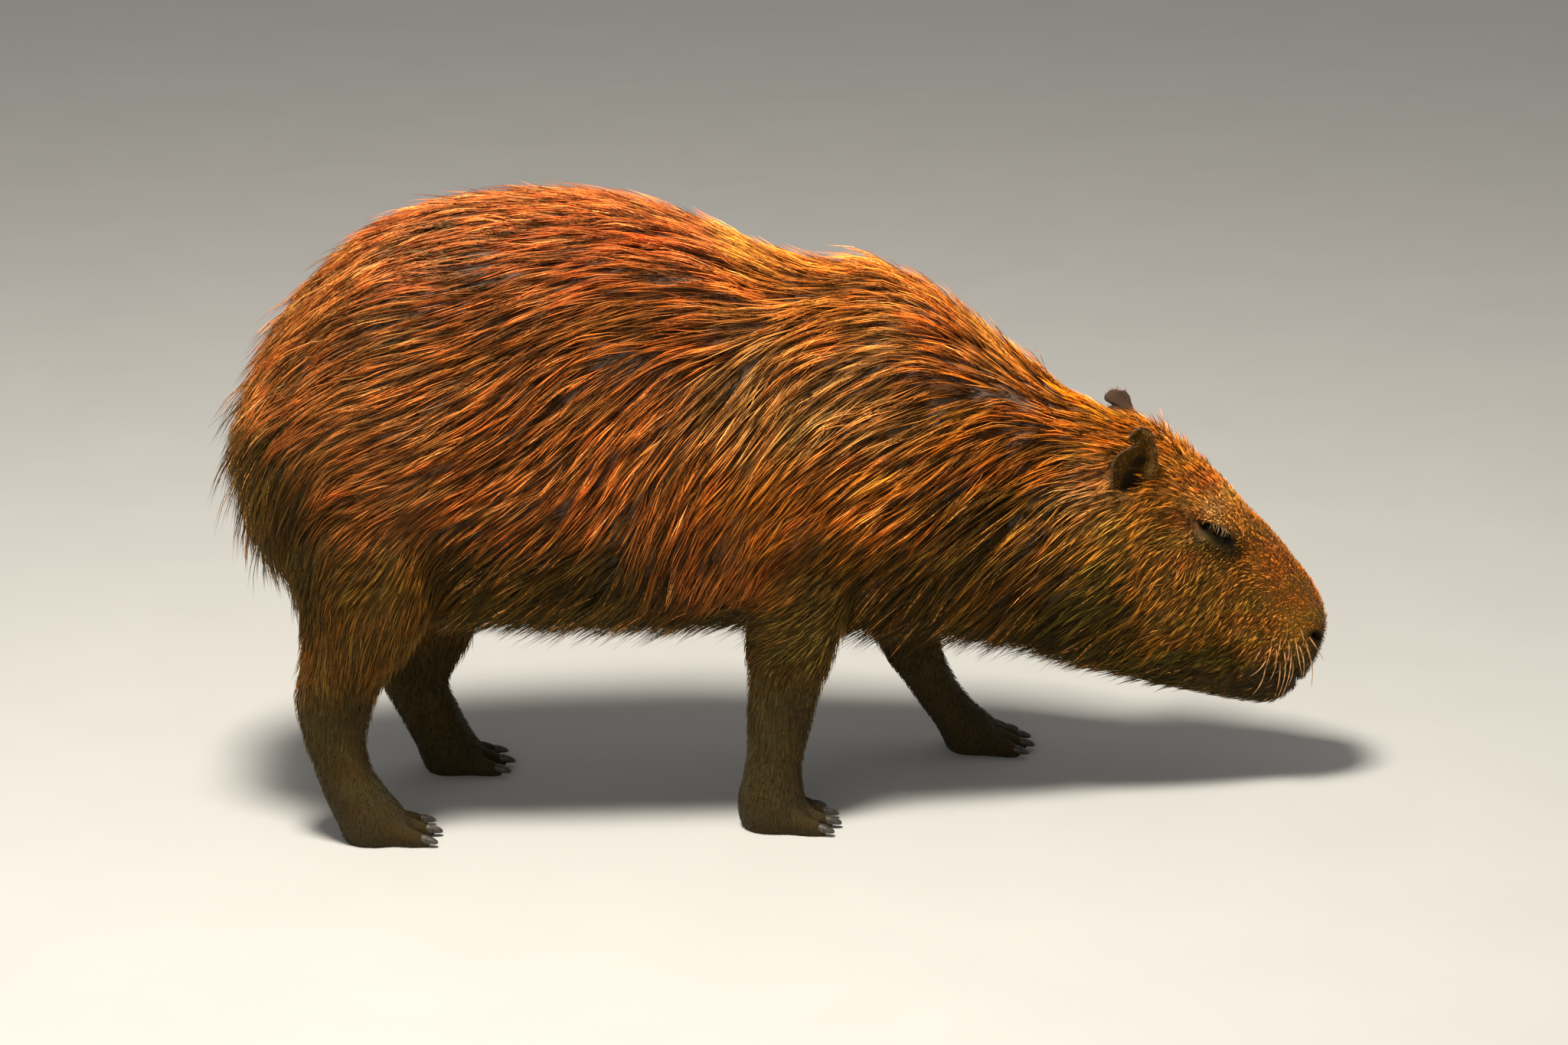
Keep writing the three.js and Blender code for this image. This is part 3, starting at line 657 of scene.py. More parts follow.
# Lie of the coat
# The hair runs back from the nose over the whole animal. It follows the line of the back, sweeps down over
# shoulders and flanks, rises a little on the forehead and hangs straight down behind the thighs.
# Each row is a place on the side view in millimetres and the hair's slope there in degrees below level.
LIE_CHART = (
    (-440, 610, 18), (-340, 625, 11), (-240, 632, 4), (-140, 610, -6), (-90, 598, -14), (-30, 580, -20),
    (20, 572, -12), (80, 565, -14), (130, 550, -30), (180, 520, -40), (220, 490, -34), (270, 445, -28),
    (320, 412, -26), (-500, 540, 34), (-390, 540, 15), (-290, 550, 24), (-190, 540, 18), (-90, 540, 12),
    (10, 530, 20), (70, 520, 6), (120, 500, 0), (180, 470, -4), (250, 425, -8), (310, 375, -6),
    (-540, 460, 55), (-490, 450, 30), (-430, 460, 15), (-340, 460, 27), (-240, 460, 36), (-140, 460, 44),
    (-40, 460, 46), (30, 460, 27), (100, 450, 22), (180, 420, 18), (-545, 380, 82), (-490, 380, 62),
    (-430, 380, 18), (-350, 380, 30), (-270, 380, 32), (-190, 380, 52), (-130, 380, 66), (-60, 380, 50),
    (20, 380, 34), (100, 370, 26), (180, 370, 30), (250, 370, 14), (310, 340, 12), (-490, 300, 77),
    (-430, 310, 42), (-380, 290, 58), (-300, 300, 38), (-220, 300, 34), (-140, 300, 72), (-60, 290, 66),
    (10, 300, 36), (80, 290, 28), (160, 300, 36), (250, 300, 37), (320, 300, 30), (-490, 230, 84),
    (-420, 220, 70), (-340, 230, 52), (-260, 225, 24), (-160, 225, 34), (-60, 225, 24), (20, 235, 30),
    (80, 220, 52), (150, 230, 46), (230, 230, 40), (310, 220, 28), (-450, 120, 84), (-350, 120, 84),
    (0, 130, 78), (150, 130, 74), (-420, 30, 74), (-330, 30, 74), (0, 30, 74), (220, 30, 60),
    (360, 310, 42), (350, 250, 40), (400, 250, 46), (350, 185, 30), (410, 200, 40), (450, 210, 42),
    (360, 140, 16), (430, 140, 24), (480, 190, 36), (490, 140, 34), (530, 170, 18), (550, 150, 30),
    (370, 350, -20), (400, 330, -34), (380, 300, -4), (410, 350, -44), (440, 320, -42), (412, 286, 14),
    (470, 290, -44), (450, 255, 24), (480, 250, -14), (510, 240, -44), (540, 200, -30), (560, 170, -20),
    (430, 308, -30), (505, 100, 20), (530, 110, 30),
)
CHART_REACH, CHART_FALL, CHART_BATCH = 26 * MM, 3.2, 20000
# On top of the back the hair leans outwards from the middle, and everywhere it sways a little
PARTING, PARTING_FACING, PARTING_WIDTH = 0.22, (0.55, 0.95), 0.03
BROAD_SWAY, FINE_SWAY = 0.10, 0.07


def blend_of_chart(points, chart_places, chart_values):
    """Values at places of the side view, each a blend of the chart's rows that favours the nearest."""
    blended = np.empty((len(points), chart_values.shape[1]))
    for first in range(0, len(points), CHART_BATCH):
        batch = slice(first, first + CHART_BATCH)
        apart = points[batch, None, :] - chart_places[None, :, :]
        weight = 1 / ((apart ** 2).sum(axis=2) / CHART_REACH ** 2 + 1) ** CHART_FALL
        blended[batch] = (weight @ chart_values) / weight.sum(axis=1, keepdims=True)
    return blended


lie_places = np.array([(x, z) for x, z, slope in LIE_CHART]) * MM
lie_slopes = np.radians([slope for x, z, slope in LIE_CHART])
lie_values = np.stack([-np.cos(lie_slopes), -np.sin(lie_slopes)], axis=1)


def ripple(points, size, seed):
    """A soft random value, mostly between -1 and 1, that changes over the given distance."""
    draw = np.random.default_rng(seed)
    total = np.zeros(len(points))
    for _ in range(7):
        across = unit(draw.normal(size=3)) * (2 * math.pi / size) * draw.uniform(0.6, 1.6)
        total += np.sin(points @ across + draw.uniform(0, 6.3))
    return total / 3.2


def lie_of(points, normals):
    """The direction in which the coat lies at places on the hide."""
    slope = blend_of_chart(points[:, (0, 2)], lie_places, lie_values)
    spread = np.sign(points[:, 1]) * ease(normals[:, 2], *PARTING_FACING) * PARTING
    spread *= ease(np.abs(points[:, 1]), 0.0, PARTING_WIDTH)
    flow = unit(np.stack([slope[:, 0], spread, slope[:, 1]], axis=1))
    sway = ripple(points, 0.16, 3) * BROAD_SWAY + ripple(points, 0.05, 4) * FINE_SWAY
    flow = flow + np.cross(normals, flow) * sway[:, None]
    flow -= normals * (flow * normals).sum(axis=1, keepdims=True)
    return unit(flow)


# Markings of hide and coat
# The coat is rusty red-brown, brightest along neck and crest, with a tan face, a nearly black belly and
# grey-brown legs. The colours are those of the middle of a hair in full light, with painted light in them:
# upper parts are lighter and lower parts darker than the coat itself, as under a light from above.
COLOURS = {
    "back": (0.61, 0.33, 0.165),
    "crest": (0.73, 0.42, 0.16),
    "shoulder": (0.66, 0.46, 0.24),
    "neck": (0.62, 0.36, 0.10),
    "rump": (0.58, 0.35, 0.16),
    "flank": (0.58, 0.33, 0.13),
    "rear": (0.28, 0.20, 0.06),
    "low": (0.30, 0.21, 0.05),
    "belly": (0.185, 0.15, 0.04),
    "thigh": (0.40, 0.27, 0.08),
    "upper_foreleg": (0.33, 0.245, 0.075),
    "leg": (0.23, 0.19, 0.075),
    "foot": (0.18, 0.155, 0.08),
    "throat": (0.35, 0.23, 0.05),
    "forehead": (0.65, 0.375, 0.055),
    "brow": (0.68, 0.46, 0.18),
    "cheek": (0.57, 0.385, 0.125),
    "jaw": (0.31, 0.255, 0.045),
    "bridge": (0.62, 0.36, 0.06),
    "muzzle": (0.62, 0.43, 0.13),
    "lip": (0.18, 0.15, 0.05),
}
MARKINGS = (
    (-440, 600, "rump"), (-340, 620, "back"), (-200, 635, "back"), (-60, 590, "back"), (20, 560, "crest"),
    (90, 560, "crest"), (170, 520, "crest"), (240, 460, "crest"), (310, 400, "forehead"),
    (-540, 420, "rear"), (-480, 480, "rump"), (-380, 500, "rump"), (-260, 500, "flank"),
    (-120, 500, "flank"), (0, 480, "shoulder"), (100, 460, "shoulder"), (200, 420, "neck"),
    (280, 370, "neck"), (-500, 300, "rear"), (-400, 380, "rump"), (-280, 380, "flank"),
    (-140, 380, "flank"), (-20, 370, "neck"), (90, 360, "neck"), (200, 330, "throat"),
    (300, 310, "cheek"), (-420, 290, "thigh"), (-300, 290, "low"), (-180, 280, "low"),
    (-60, 290, "flank"), (40, 280, "low"), (130, 270, "low"), (230, 260, "throat"), (320, 230, "jaw"),
    (-250, 200, "belly"), (-100, 195, "belly"), (60, 200, "upper_foreleg"), (160, 180, "belly"),
    (260, 160, "belly"), (-440, 210, "thigh"), (-350, 210, "thigh"), (20, 210, "upper_foreleg"),
    (-30, 220, "upper_foreleg"), (-440, 110, "leg"), (-350, 110, "leg"), (0, 110, "leg"),
    (160, 110, "leg"), (-420, 20, "foot"), (-330, 20, "foot"), (0, 20, "foot"), (230, 20, "foot"),
    (400, 340, "forehead"), (440, 330, "forehead"), (425, 306, "brow"), (446, 300, "brow"),
    (470, 275, "bridge"), (500, 250, "bridge"), (540, 205, "bridge"), (558, 180, "muzzle"),
    (380, 290, "cheek"), (440, 250, "cheek"), (400, 220, "cheek"), (480, 215, "cheek"),
    (520, 180, "muzzle"), (500, 160, "cheek"), (360, 150, "jaw"), (430, 150, "jaw"), (400, 115, "belly"),
    (470, 105, "lip"), (530, 125, "lip"), (505, 130, "jaw"),
)

# Small spots over the broad colours: place on the side view in millimetres, reach, colour and strength
SPOTS = (
    (457, 263, 6, (0.12, 0.10, 0.03), 0.9),
    (449, 267, 7, (0.12, 0.10, 0.03), 0.95),
    (440, 271, 7, (0.13, 0.11, 0.03), 0.95),
    (429, 275, 6, (0.15, 0.12, 0.04), 0.85),
    (418, 278, 6, (0.24, 0.19, 0.07), 0.7),
    (405, 301, 7, (0.17, 0.13, 0.05), 0.8),
    (430, 302, 9, (0.80, 0.61, 0.38), 0.75),
    (414, 288, 5, (0.54, 0.44, 0.33), 0.7),
    (312, 342, 15, (0.62, 0.49, 0.34), 0.65),
    (545, 150, 15, (0.21, 0.17, 0.07), 0.85),
    (510, 112, 24, (0.17, 0.13, 0.07), 0.85),
    (470, 108, 24, (0.18, 0.14, 0.07), 0.7),
)


def linear(colour):
    """A colour as seen on a screen, as amounts of light."""
    colour = np.array(colour)
    return np.where(colour <= 0.04045, colour / 12.92, ((colour + 0.055) / 1.055) ** 2.4)


EAR_OUTSIDE, EAR_INSIDE = linear((0.28, 0.215, 0.18)), linear((0.32, 0.22, 0.06))
LID_COLOUR, LID_COVER = linear((0.075, 0.06, 0.02)), 0.95
# The colours wander a little off their places, turn dark on the underside and vary in patches
WANDER_MM = 12
UNDERSIDE_FACING, UNDERSIDE_FROM, UNDERSIDE_TONE_AND_SHADE = (0.25, 0.8), 0.03, 0.75
GOLDEN_GAIN = (-0.05, 0.17, 0.30)
marking_places = np.array([(x, z) for x, z, name in MARKINGS]) * MM
marking_values = np.array([linear(COLOURS[name]) for x, z, name in MARKINGS])


def marking_of(points, normals):
    """The coat's colour at places on the hide, the same for hide and hair."""
    wander = np.stack([ripple(points, 0.07, 5), ripple(points, 0.07, 6)], axis=1) * WANDER_MM * MM
    colour = blend_of_chart(points[:, (0, 2)] + wander, marking_places, marking_values)
    # Downward-facing hide takes the belly's colour: partly the real dark belly, partly painted shade
    under = ease(-normals[:, 2], *UNDERSIDE_FACING) * (points[:, 2] > UNDERSIDE_FROM) * UNDERSIDE_TONE_AND_SHADE
    colour = mingled(colour, linear(COLOURS["belly"]), under[:, None])
    for x, z, reach, tone, strength in SPOTS:
        apart = np.hypot(points[:, 0] - x * MM, points[:, 2] - z * MM)
        colour = mingled(colour, linear(tone), (strength * hump(apart, reach * MM))[:, None])
    patches = 1 + 0.16 * ripple(points, 0.11, 7) + 0.10 * ripple(points, 0.035, 8)
    # Rusty and golden patches take turns
    hue = 1 + np.outer(ripple(points, 0.048, 9), GOLDEN_GAIN)
    return np.clip(colour * patches[:, None] * hue, 0.002, 1)


def set_colours(mesh, name, values):
    """A colour for each vertex, which a material reads by name."""
    layer = mesh.attributes.new(name, "FLOAT_COLOR", "POINT")
    whole = np.concatenate([values, np.ones((len(values), 1))], axis=1).astype(np.float32)
    layer.data.foreach_set("color", whole.ravel())


def set_vectors(mesh, name, values):
    """Three numbers for each vertex, which a material reads by name."""
    layer = mesh.attributes.new(name, "FLOAT_VECTOR", "POINT")
    layer.data.foreach_set("vector", np.ascontiguousarray(values, dtype=np.float32).ravel())


LONG_COAT, SHORT_ROUNDS = ("rump", "barrel", "shoulders", "neck"), 60
hide_points, hide_normals = mesh_points(hide_mesh), mesh_normals(hide_mesh)
planned, hide_groups = coat_plan(hide_mesh)
hide_colour = marking_of(hide_points, hide_normals)
hide_colour = mingled(hide_colour, LID_COLOUR, (bare * LID_COVER)[:, None])
ear_tone = mingled(EAR_OUTSIDE, EAR_INSIDE, ear_inside[:, None])
hide_colour = mingled(hide_colour, ear_tone, is_ear[:, None])
short = evened(1.0 - np.isin(hide_groups, LONG_COAT), mesh_edges(hide_mesh), SHORT_ROUNDS)
set_colours(hide_mesh, "marking", hide_colour)
set_vectors(hide_mesh, "lie", lie_of(hide_points, hide_normals))
set_vectors(hide_mesh, "hide_state", np.stack([bare, hollow, short], axis=1))


def feed(tree, socket, value):
    """Links a value into a socket, or sets it there if it is a plain number or colour."""
    if isinstance(value, bpy.types.NodeSocket):
        tree.links.new(value, socket)
    elif socket.type == "RGBA":
        socket.default_value = (*[float(v) for v in value], 1.0)
    else:
        socket.default_value = value


def sum_node(tree, operation, *values):
    """One sum on plain numbers."""
    made = tree.nodes.new("ShaderNodeMath")
    made.operation = operation
    for socket, value in zip(made.inputs, values):
        feed(tree, socket, value)
    return made.outputs[0]


def vector_node(tree, operation, *values):
    """One sum on places or directions."""
    made = tree.nodes.new("ShaderNodeVectorMath")
    made.operation = operation
    for socket, value in zip(made.inputs, values):
        feed(tree, socket, value)
    return made.outputs["Value" if operation == "DOT_PRODUCT" else "Vector"]


def scaled(tree, vector, amount):
    """A vector or colour, all of it times one number."""
    made = tree.nodes.new("ShaderNodeVectorMath")
    made.operation = "SCALE"
    feed(tree, made.inputs[0], vector)
    feed(tree, made.inputs["Scale"], amount)
    return made.outputs[0]


def mixed(tree, share, first, second, way="MIX"):
    """Two colours mixed by a share, or multiplied."""
    made = tree.nodes.new("ShaderNodeMix")
    made.data_type = "RGBA"
    made.blend_type = way
    made.clamp_result = True
    feed(tree, made.inputs[0], share)
    feed(tree, made.inputs[6], first)
    feed(tree, made.inputs[7], second)
    return made.outputs[2]


def ramp(tree, value, low, high, to_low=0.0, to_high=1.0):
    """A value carried smoothly from one range to another."""
    made = tree.nodes.new("ShaderNodeMapRange")
    made.interpolation_type = "SMOOTHSTEP"
    for socket, number in zip(made.inputs, (value, low, high, to_low, to_high)):
        feed(tree, socket, number)
    return made.outputs[0]


def place_on(tree):
    """The place on the model that is being coloured."""
    return tree.nodes.new("ShaderNodeTexCoord").outputs["Object"]


def grain(tree, place, scale, detail=3.0):
    """Random grey grain, so many to the metre."""
    made = tree.nodes.new("ShaderNodeTexNoise")
    feed(tree, made.inputs["Vector"], place)
    made.inputs["Scale"].default_value = scale
    made.inputs["Detail"].default_value = detail
    return made.outputs["Fac"]


def read(tree, name, output):
    """A named value of the mesh."""
    made = tree.nodes.new("ShaderNodeAttribute")
    made.attribute_name = name
    return made.outputs[output]


def split(tree, vector):
    """The three numbers of a vector."""
    made = tree.nodes.new("ShaderNodeSeparateXYZ")
    feed(tree, made.inputs[0], vector)
    return made.outputs


def bump(tree, shader, relief, distance, strength):
    """Relief on a shader's surface."""
    made = tree.nodes.new("ShaderNodeBump")
    made.inputs["Strength"].default_value = strength
    made.inputs["Distance"].default_value = distance
    feed(tree, made.inputs["Height"], relief)
    feed(tree, shader.inputs["Normal"], made.outputs[0])


STRAW, DARK_HAIR = linear((0.90, 0.62, 0.37)), linear((0.11, 0.07, 0.02))
STRAW_TONES, STRAW_COVER = (0.82, 0.92), 0.62
DARK_TONES, DARK_COVER = (0.20, 0.10), 0.75
# Dark roots: partly the hair's own colour, partly painted shade deep in the coat
TIP_GAIN, ROOT_GAIN = (2.2, 1.80, 1.25), (0.12, 0.10, 0.04)
SHADE_RANGE = (0.15, 3.10)


def hair_colour_group():
    """Colour along a hair: dark at the root, paler at the tip, with straw and dark hairs among the rest."""
    group = bpy.data.node_groups.new("hair_colour", "ShaderNodeTree")
    for name, kind in (("Marking", "Color"), ("Along", "Float"), ("Tone", "Float"), ("Shade", "Float")):
        group.interface.new_socket(name, in_out="INPUT", socket_type="NodeSocket" + kind)
    group.interface.new_socket("Color", in_out="OUTPUT", socket_type="NodeSocketColor")
    marking, along, tone, shade = group.nodes.new("NodeGroupInput").outputs[:4]
    straw, dark = mixed(group, STRAW_COVER, marking, STRAW), mixed(group, DARK_COVER, marking, DARK_HAIR)
    colour = mixed(group, ramp(group, tone, *STRAW_TONES), marking, straw)
    colour = mixed(group, ramp(group, tone, *DARK_TONES), colour, dark)
    tip = mixed(group, 1.0, colour, TIP_GAIN, "MULTIPLY")
    colour = mixed(group, ramp(group, along, 0.35, 1.0), colour, tip)
    root = mixed(group, 1.0, colour, ROOT_GAIN, "MULTIPLY")
    colour = mixed(group, ramp(group, along, 0.55, 0.0), colour, root)
    colour = scaled(group, colour, ramp(group, shade, 0.0, 1.0, *SHADE_RANGE))
    feed(group, group.nodes.new("NodeGroupOutput").inputs[0], colour)
    return group


hair_colour = hair_colour_group()


def hair_colour_of(tree, *values):
    """The hair's colour, placed in a material."""
    made = tree.nodes.new("ShaderNodeGroup")
    made.node_tree = hair_colour
    for socket, value in zip(made.inputs, values):
        feed(tree, socket, value)
    return made.outputs[0]


def new_material(name, **settings):
    """A material whose shader has the given plain settings."""
    made = bpy.data.materials.new(name)
    made.use_nodes = True
    shader = made.node_tree.nodes["Principled BSDF"]
    for key, value in settings.items():
        feed(made.node_tree, shader.inputs[key.replace("_", " ")], value)
    return made, made.node_tree, shader


def dress(piece, finish):
    """Gives a piece its material and lets it ride on the still body."""
    piece.data.materials.append(finish)
    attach(piece, "root")


# The hide's finish is dark, slightly greasy skin under short hair, drawn as fine streaks along the lie
# Under the long coat the skin's colour is partly its own dark grey-brown, partly painted shade of the hairs
# over it
SKIN_COLOUR, SKIN_PATCH_COLOUR = linear((0.14, 0.10, 0.05)), linear((0.36, 0.35, 0.34))
SHORT_HAIR_SKIN_COLOUR = linear((0.21, 0.165, 0.10))
GOLDEN_SHINE = (1.0, 0.80, 0.36)
WORN_GAIN = (1.4, 1.32, 1.2)
# Painted shade: nostrils, lip fold, ear hollows and cups, eye sockets and lid folds are darkened towards
# this
HOLLOW_SHADE_COLOUR = (0.004, 0.003, 0.002)
STREAK_LENGTH = 0.90
HAIR_GRAIN, PORE_GRAIN, PATCH_GRAIN = 620, 900, 26
# How much of the hide's colour is short hair, on the legs and head and under the long coat
SHORT_COAT_COVER, LONG_COAT_COVER = 0.28, 0.12


def hide_material():
    """Skin with short flat hair over it, bare at lids, nose and ears, with painted shade in its hollows."""
    made, tree, shader = new_material(
        "hide", Specular_IOR_Level=0.13, Specular_Tint=GOLDEN_SHINE, Sheen_Weight=0.02)
    place = place_on(tree)
    lie = read(tree, "lie", "Vector")
    is_bare, in_painted_shade, is_short = split(tree, read(tree, "hide_state", "Vector"))
    run = sum_node(tree, "MULTIPLY", vector_node(tree, "DOT_PRODUCT", place, lie), STREAK_LENGTH)
    along_lie = vector_node(tree, "SUBTRACT", place, scaled(tree, lie, run))
    streak = grain(tree, along_lie, HAIR_GRAIN, 4.0)
    coarse = grain(tree, along_lie, HAIR_GRAIN / 4)
    pores = grain(tree, place, PORE_GRAIN, 2.0)
    along = sum_node(tree, "ADD", sum_node(tree, "MULTIPLY", coarse, 0.75), 0.12)
    marking = read(tree, "marking", "Color")
    tone = ramp(tree, streak, 0.30, 0.72, 0.22, 0.78)
    fur = hair_colour_of(tree, marking, along, tone, ramp(tree, streak, 0.25, 0.75, 0.0, 0.9))
    patches = ramp(tree, grain(tree, place, PATCH_GRAIN), 0.35, 0.7)
    skin = mixed(tree, patches, SKIN_COLOUR, SKIN_PATCH_COLOUR)
    short_coat = mixed(tree, SHORT_COAT_COVER, SHORT_HAIR_SKIN_COLOUR, fur)
    coat = mixed(tree, is_short, mixed(tree, LONG_COAT_COVER, skin, fur), short_coat)
    worn = mixed(tree, 1.0, marking, WORN_GAIN, "MULTIPLY")
    leather = mixed(tree, ramp(tree, pores, 0.3, 0.8), marking, worn)
    colour = mixed(tree, is_bare, coat, leather)
    # Painted shade in the hollows
    colour = mixed(tree, in_painted_shade, colour, mixed(tree, 0.85, colour, HOLLOW_SHADE_COLOUR))
    feed(tree, shader.inputs["Base Color"], colour)
    feed(tree, shader.inputs["Roughness"], ramp(tree, pores, 0.2, 0.8, 0.46, 0.74))
    relief = sum_node(tree, "ADD", streak, sum_node(tree, "MULTIPLY", pores, 0.3))
    bump(tree, shader, relief, 0.0012, 0.55)
    return made


dress(hide, hide_material())
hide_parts(*[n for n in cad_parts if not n.startswith(("eye_", "claw_"))])

# Eyes
# Each eye is a wet, nearly black ball with a dark brown iris and a clear front that stands a little proud.
# It sits loose in its socket under the lids.
SIDES = ((RIGHT, "right"), (LEFT, "left"))
EYE_TURNS, EYE_RINGS = 48, 32
CORNEA_RISE, CORNEA_REACH = 0.7 * MM, 0.13
IRIS_COLOURS = linear((0.17, 0.10, 0.04)), linear((0.08, 0.05, 0.02))
EYE_RIM_COLOURS = linear((0.16, 0.12, 0.09)), linear((0.10, 0.08, 0.06))
PUPIL_COLOUR = (0.002, 0.0015, 0.001)
IRIS_EDGE, PUPIL_EDGE = (0.66, 0.72), (0.89, 0.91)


def eyeball(side):
    """One eyeball with its proud front."""
    centre, out, front, up = eye_frame(side)
    work = bmesh.new()
    bmesh.ops.create_uvsphere(work, u_segments=EYE_TURNS, v_segments=EYE_RINGS, radius=EYE_RADIUS)
    for vertex in work.verts:
        x, y, z = vertex.co
        dome = CORNEA_RISE * (math.exp(-0.5 * ((1 - z / EYE_RADIUS) / CORNEA_REACH) ** 2) - 1)
        vertex.co = Vector(centre + front * x + up * y + out * (z + dome))
    bmesh.ops.recalc_face_normals(work, faces=work.faces)
    mesh = bpy.data.meshes.new("eyeball")
    work.to_mesh(mesh)
    work.free()
    smooth_shaded(mesh)
    facing = (mesh_points(mesh) - centre) @ out / EYE_RADIUS
    set_vectors(mesh, "facing", np.stack([facing, facing * 0, facing * 0], axis=1))
    return mesh


def eye_material():
    """Dark iris and pupil under a wet, clear front."""
    made, tree, shader = new_material(
        "eye", Roughness=0.12, Specular_IOR_Level=0.06, Specular_Tint=GOLDEN_SHINE,
        Coat_Weight=0.02, Coat_Roughness=0.04)
    facing = split(tree, read(tree, "facing", "Vector"))[0]
    fibres = grain(tree, place_on(tree), 900, 4.0)
    iris, rim = mixed(tree, fibres, *IRIS_COLOURS), mixed(tree, fibres, *EYE_RIM_COLOURS)
    colour = mixed(tree, ramp(tree, facing, *IRIS_EDGE), rim, iris)
    colour = mixed(tree, ramp(tree, facing, *PUPIL_EDGE), colour, PUPIL_COLOUR)
    feed(tree, shader.inputs["Base Color"], colour)
    return made


eye_finish = eye_material()
for side, name in SIDES:
    ball = add_object(f"eyeball_{name}", eyeball(side))
    dress(ball, eye_finish)
    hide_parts(f"eye_{name}")

# Claws
# Blunt, hoof-like claws of dull dark horn cap the toes, four on each fore foot and three on each hind foot.
# They grow in layers, so fine lines run across them, and their edges are worn and dusty.
CLAW_ROUNDING, CLAW_MERGE = 2, 0.01 * MM
HORN_COLOURS = linear((0.17, 0.15, 0.13)), linear((0.30, 0.27, 0.23))
DUST_COLOUR = linear((0.44, 0.38, 0.30))


def claw_material():
    """Dull horn with growth lines and dust."""
    made, tree, shader = new_material("claw", Specular_IOR_Level=0.45)
    place = place_on(tree)
    lines = grain(tree, vector_node(tree, "MULTIPLY", place, (1.0, 0.12, 0.12)), 900, 2.0)
    dust = grain(tree, place, 140, 4.0)
    colour = mixed(tree, ramp(tree, lines, 0.35, 0.65), *HORN_COLOURS)
    colour = mixed(tree, ramp(tree, dust, 0.55, 0.8, 0.0, 0.6), colour, DUST_COLOUR)
    feed(tree, shader.inputs["Base Color"], colour)
    feed(tree, shader.inputs["Roughness"], ramp(tree, dust, 0.3, 0.8, 0.38, 0.7))
    bump(tree, shader, lines, 0.0006, 0.4)
    return made


horn = claw_material()
for node in [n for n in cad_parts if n.startswith("claw_")]:
    claw = add_object(node.replace("claw", "horn"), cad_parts[node].data.copy())
    claw.data.materials.clear()
    claw.modifiers.new("merge", "WELD").merge_threshold = CLAW_MERGE
    claw.modifiers.new("rounding", "SUBSURF").levels = CLAW_ROUNDING
    smooth_shaded(with_modifiers(claw))
    dress(claw, horn)
    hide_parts(node)

# Coat
# Coarse guard hair grows over the whole animal and lies back in pointed, overlapping locks. Each hair is a
# thin solid spike rooted in the hide, and the hairs of one lock share its path and draw together at its tip.

# By length of hair in millimetres: hairs to the square centimetre, width and spacing of locks in millimetres
HAIR_BY_LENGTH = (
    (6, 37, 0.46, 2),
    (10, 29, 0.54, 2.5),
    (20, 16.5, 0.70, 3.5),
    (34, 10.4, 0.82, 5),
    (50, 8.1, 0.90, 8),
    (74, 6.2, 0.93, 10),
    (94, 5.6, 0.96, 11),
)
TO_SQUARE_METRE = 1e4
LOWER_LEGS, UPPER_LEGS = ("shank", "hind_foot", "forearm", "fore_foot"), ("thigh", "upper_foreleg")
LEG_SHARE, THIGH_SHARE = 0.42, 0.72
LEG_EVENNESS, LEG_SHADE = 0.50, 0.34
SHADE_SKEW = 1.35
BARE_SOLE_HEIGHT, BARE_SOLE_FACING = 0.006, 0.3
THINNING, THINNING_SIZE = 0.40, 0.045

# The hair is short close round eyes, ears and lips: place, full shortening within, none beyond, least share
SHORTENED = (
    ((0.434, 0.060, 0.284), 0.018, 0.048, 0.35),
    ((0.352, 0.074, 0.350), 0.014, 0.034, 0.38),
    ((0.548, 0.030, 0.155), 0.016, 0.040, 0.7),
)
# It is also closer set at eyes and ears: place, reach and how much closer
THICKETS = (
    ((0.440, 0.060, 0.282), 0.028, 0.9),
    ((0.322, 0.072, 0.345), 0.022, 0.9),
)
COAT_PIECES = {
    "rump": ("rump",),
    "barrel": ("barrel",),
    "shoulders": ("shoulders",),
    "neck": ("neck",),
    "thigh": ("thigh",),
    "hind_leg": ("shank", "hind_foot"),
    "upper_foreleg": ("upper_foreleg",),
    "foreleg": ("forearm", "fore_foot"),
    "head": FACE_GROUPS,
}
LOCK_STEPS = 8
LOCK_STIFFNESS, LOCK_SAG, LOCK_RISE = 0.62, 0.05, 1.2
HANG_STIFFNESS, HANG_SAG, HANGING_LENGTHS = 0.93, 0.05, (0.018, 0.040)
LOWEST_HANGING, LOWEST_BEHIND = 0.09, 0.25
HOLD_DOWN, HOLD_UP = 0.30, 0.85
LONG_HAIR = 26 * MM

# Where tufts stand up from the coat: place on the side view, reach and how far they stand off the lie
TUFTS = (
    ((0.060, 0.565), 0.022, 0.40),
    ((0.116, 0.556), 0.020, 0.60),
    ((0.172, 0.532), 0.010, 1.0),
    ((0.196, 0.512), 0.010, 0.9),
    ((0.350, 0.402), 0.010, 0.5),
    ((0.372, 0.388), 0.010, 1.3),
    ((0.395, 0.373), 0.010, 1.8),
    ((0.415, 0.358), 0.009, 2.2),
    ((0.434, 0.342), 0.010, 1.5),
    ((0.465, 0.315), 0.016, 0.7),
)
WISP_SHARE, WISP_STAND = 0.03, 0.26
FRINGE_STAND, FLANK_FLATNESS = 0.30, 0.6
# Some locks behind the rump are wild, further back and higher up than this
REAR_AT, REAR_FROM = -0.44, 0.20
WILD_SHARE, WILD_STAND = 0.10, (0.2, 0.55)
HEAD_AT, FACE_AT = 0.30, 0.38
LOCK_SWING, FACE_SWING, LOCK_WAVE = 0.13, 0.34, 3.0


def by_length(lengths, column):
    """One column of the table of hair, read at given lengths of hair."""
    table = np.array(HAIR_BY_LENGTH)
    return np.interp(lengths / MM, table[:, 0], table[:, column])


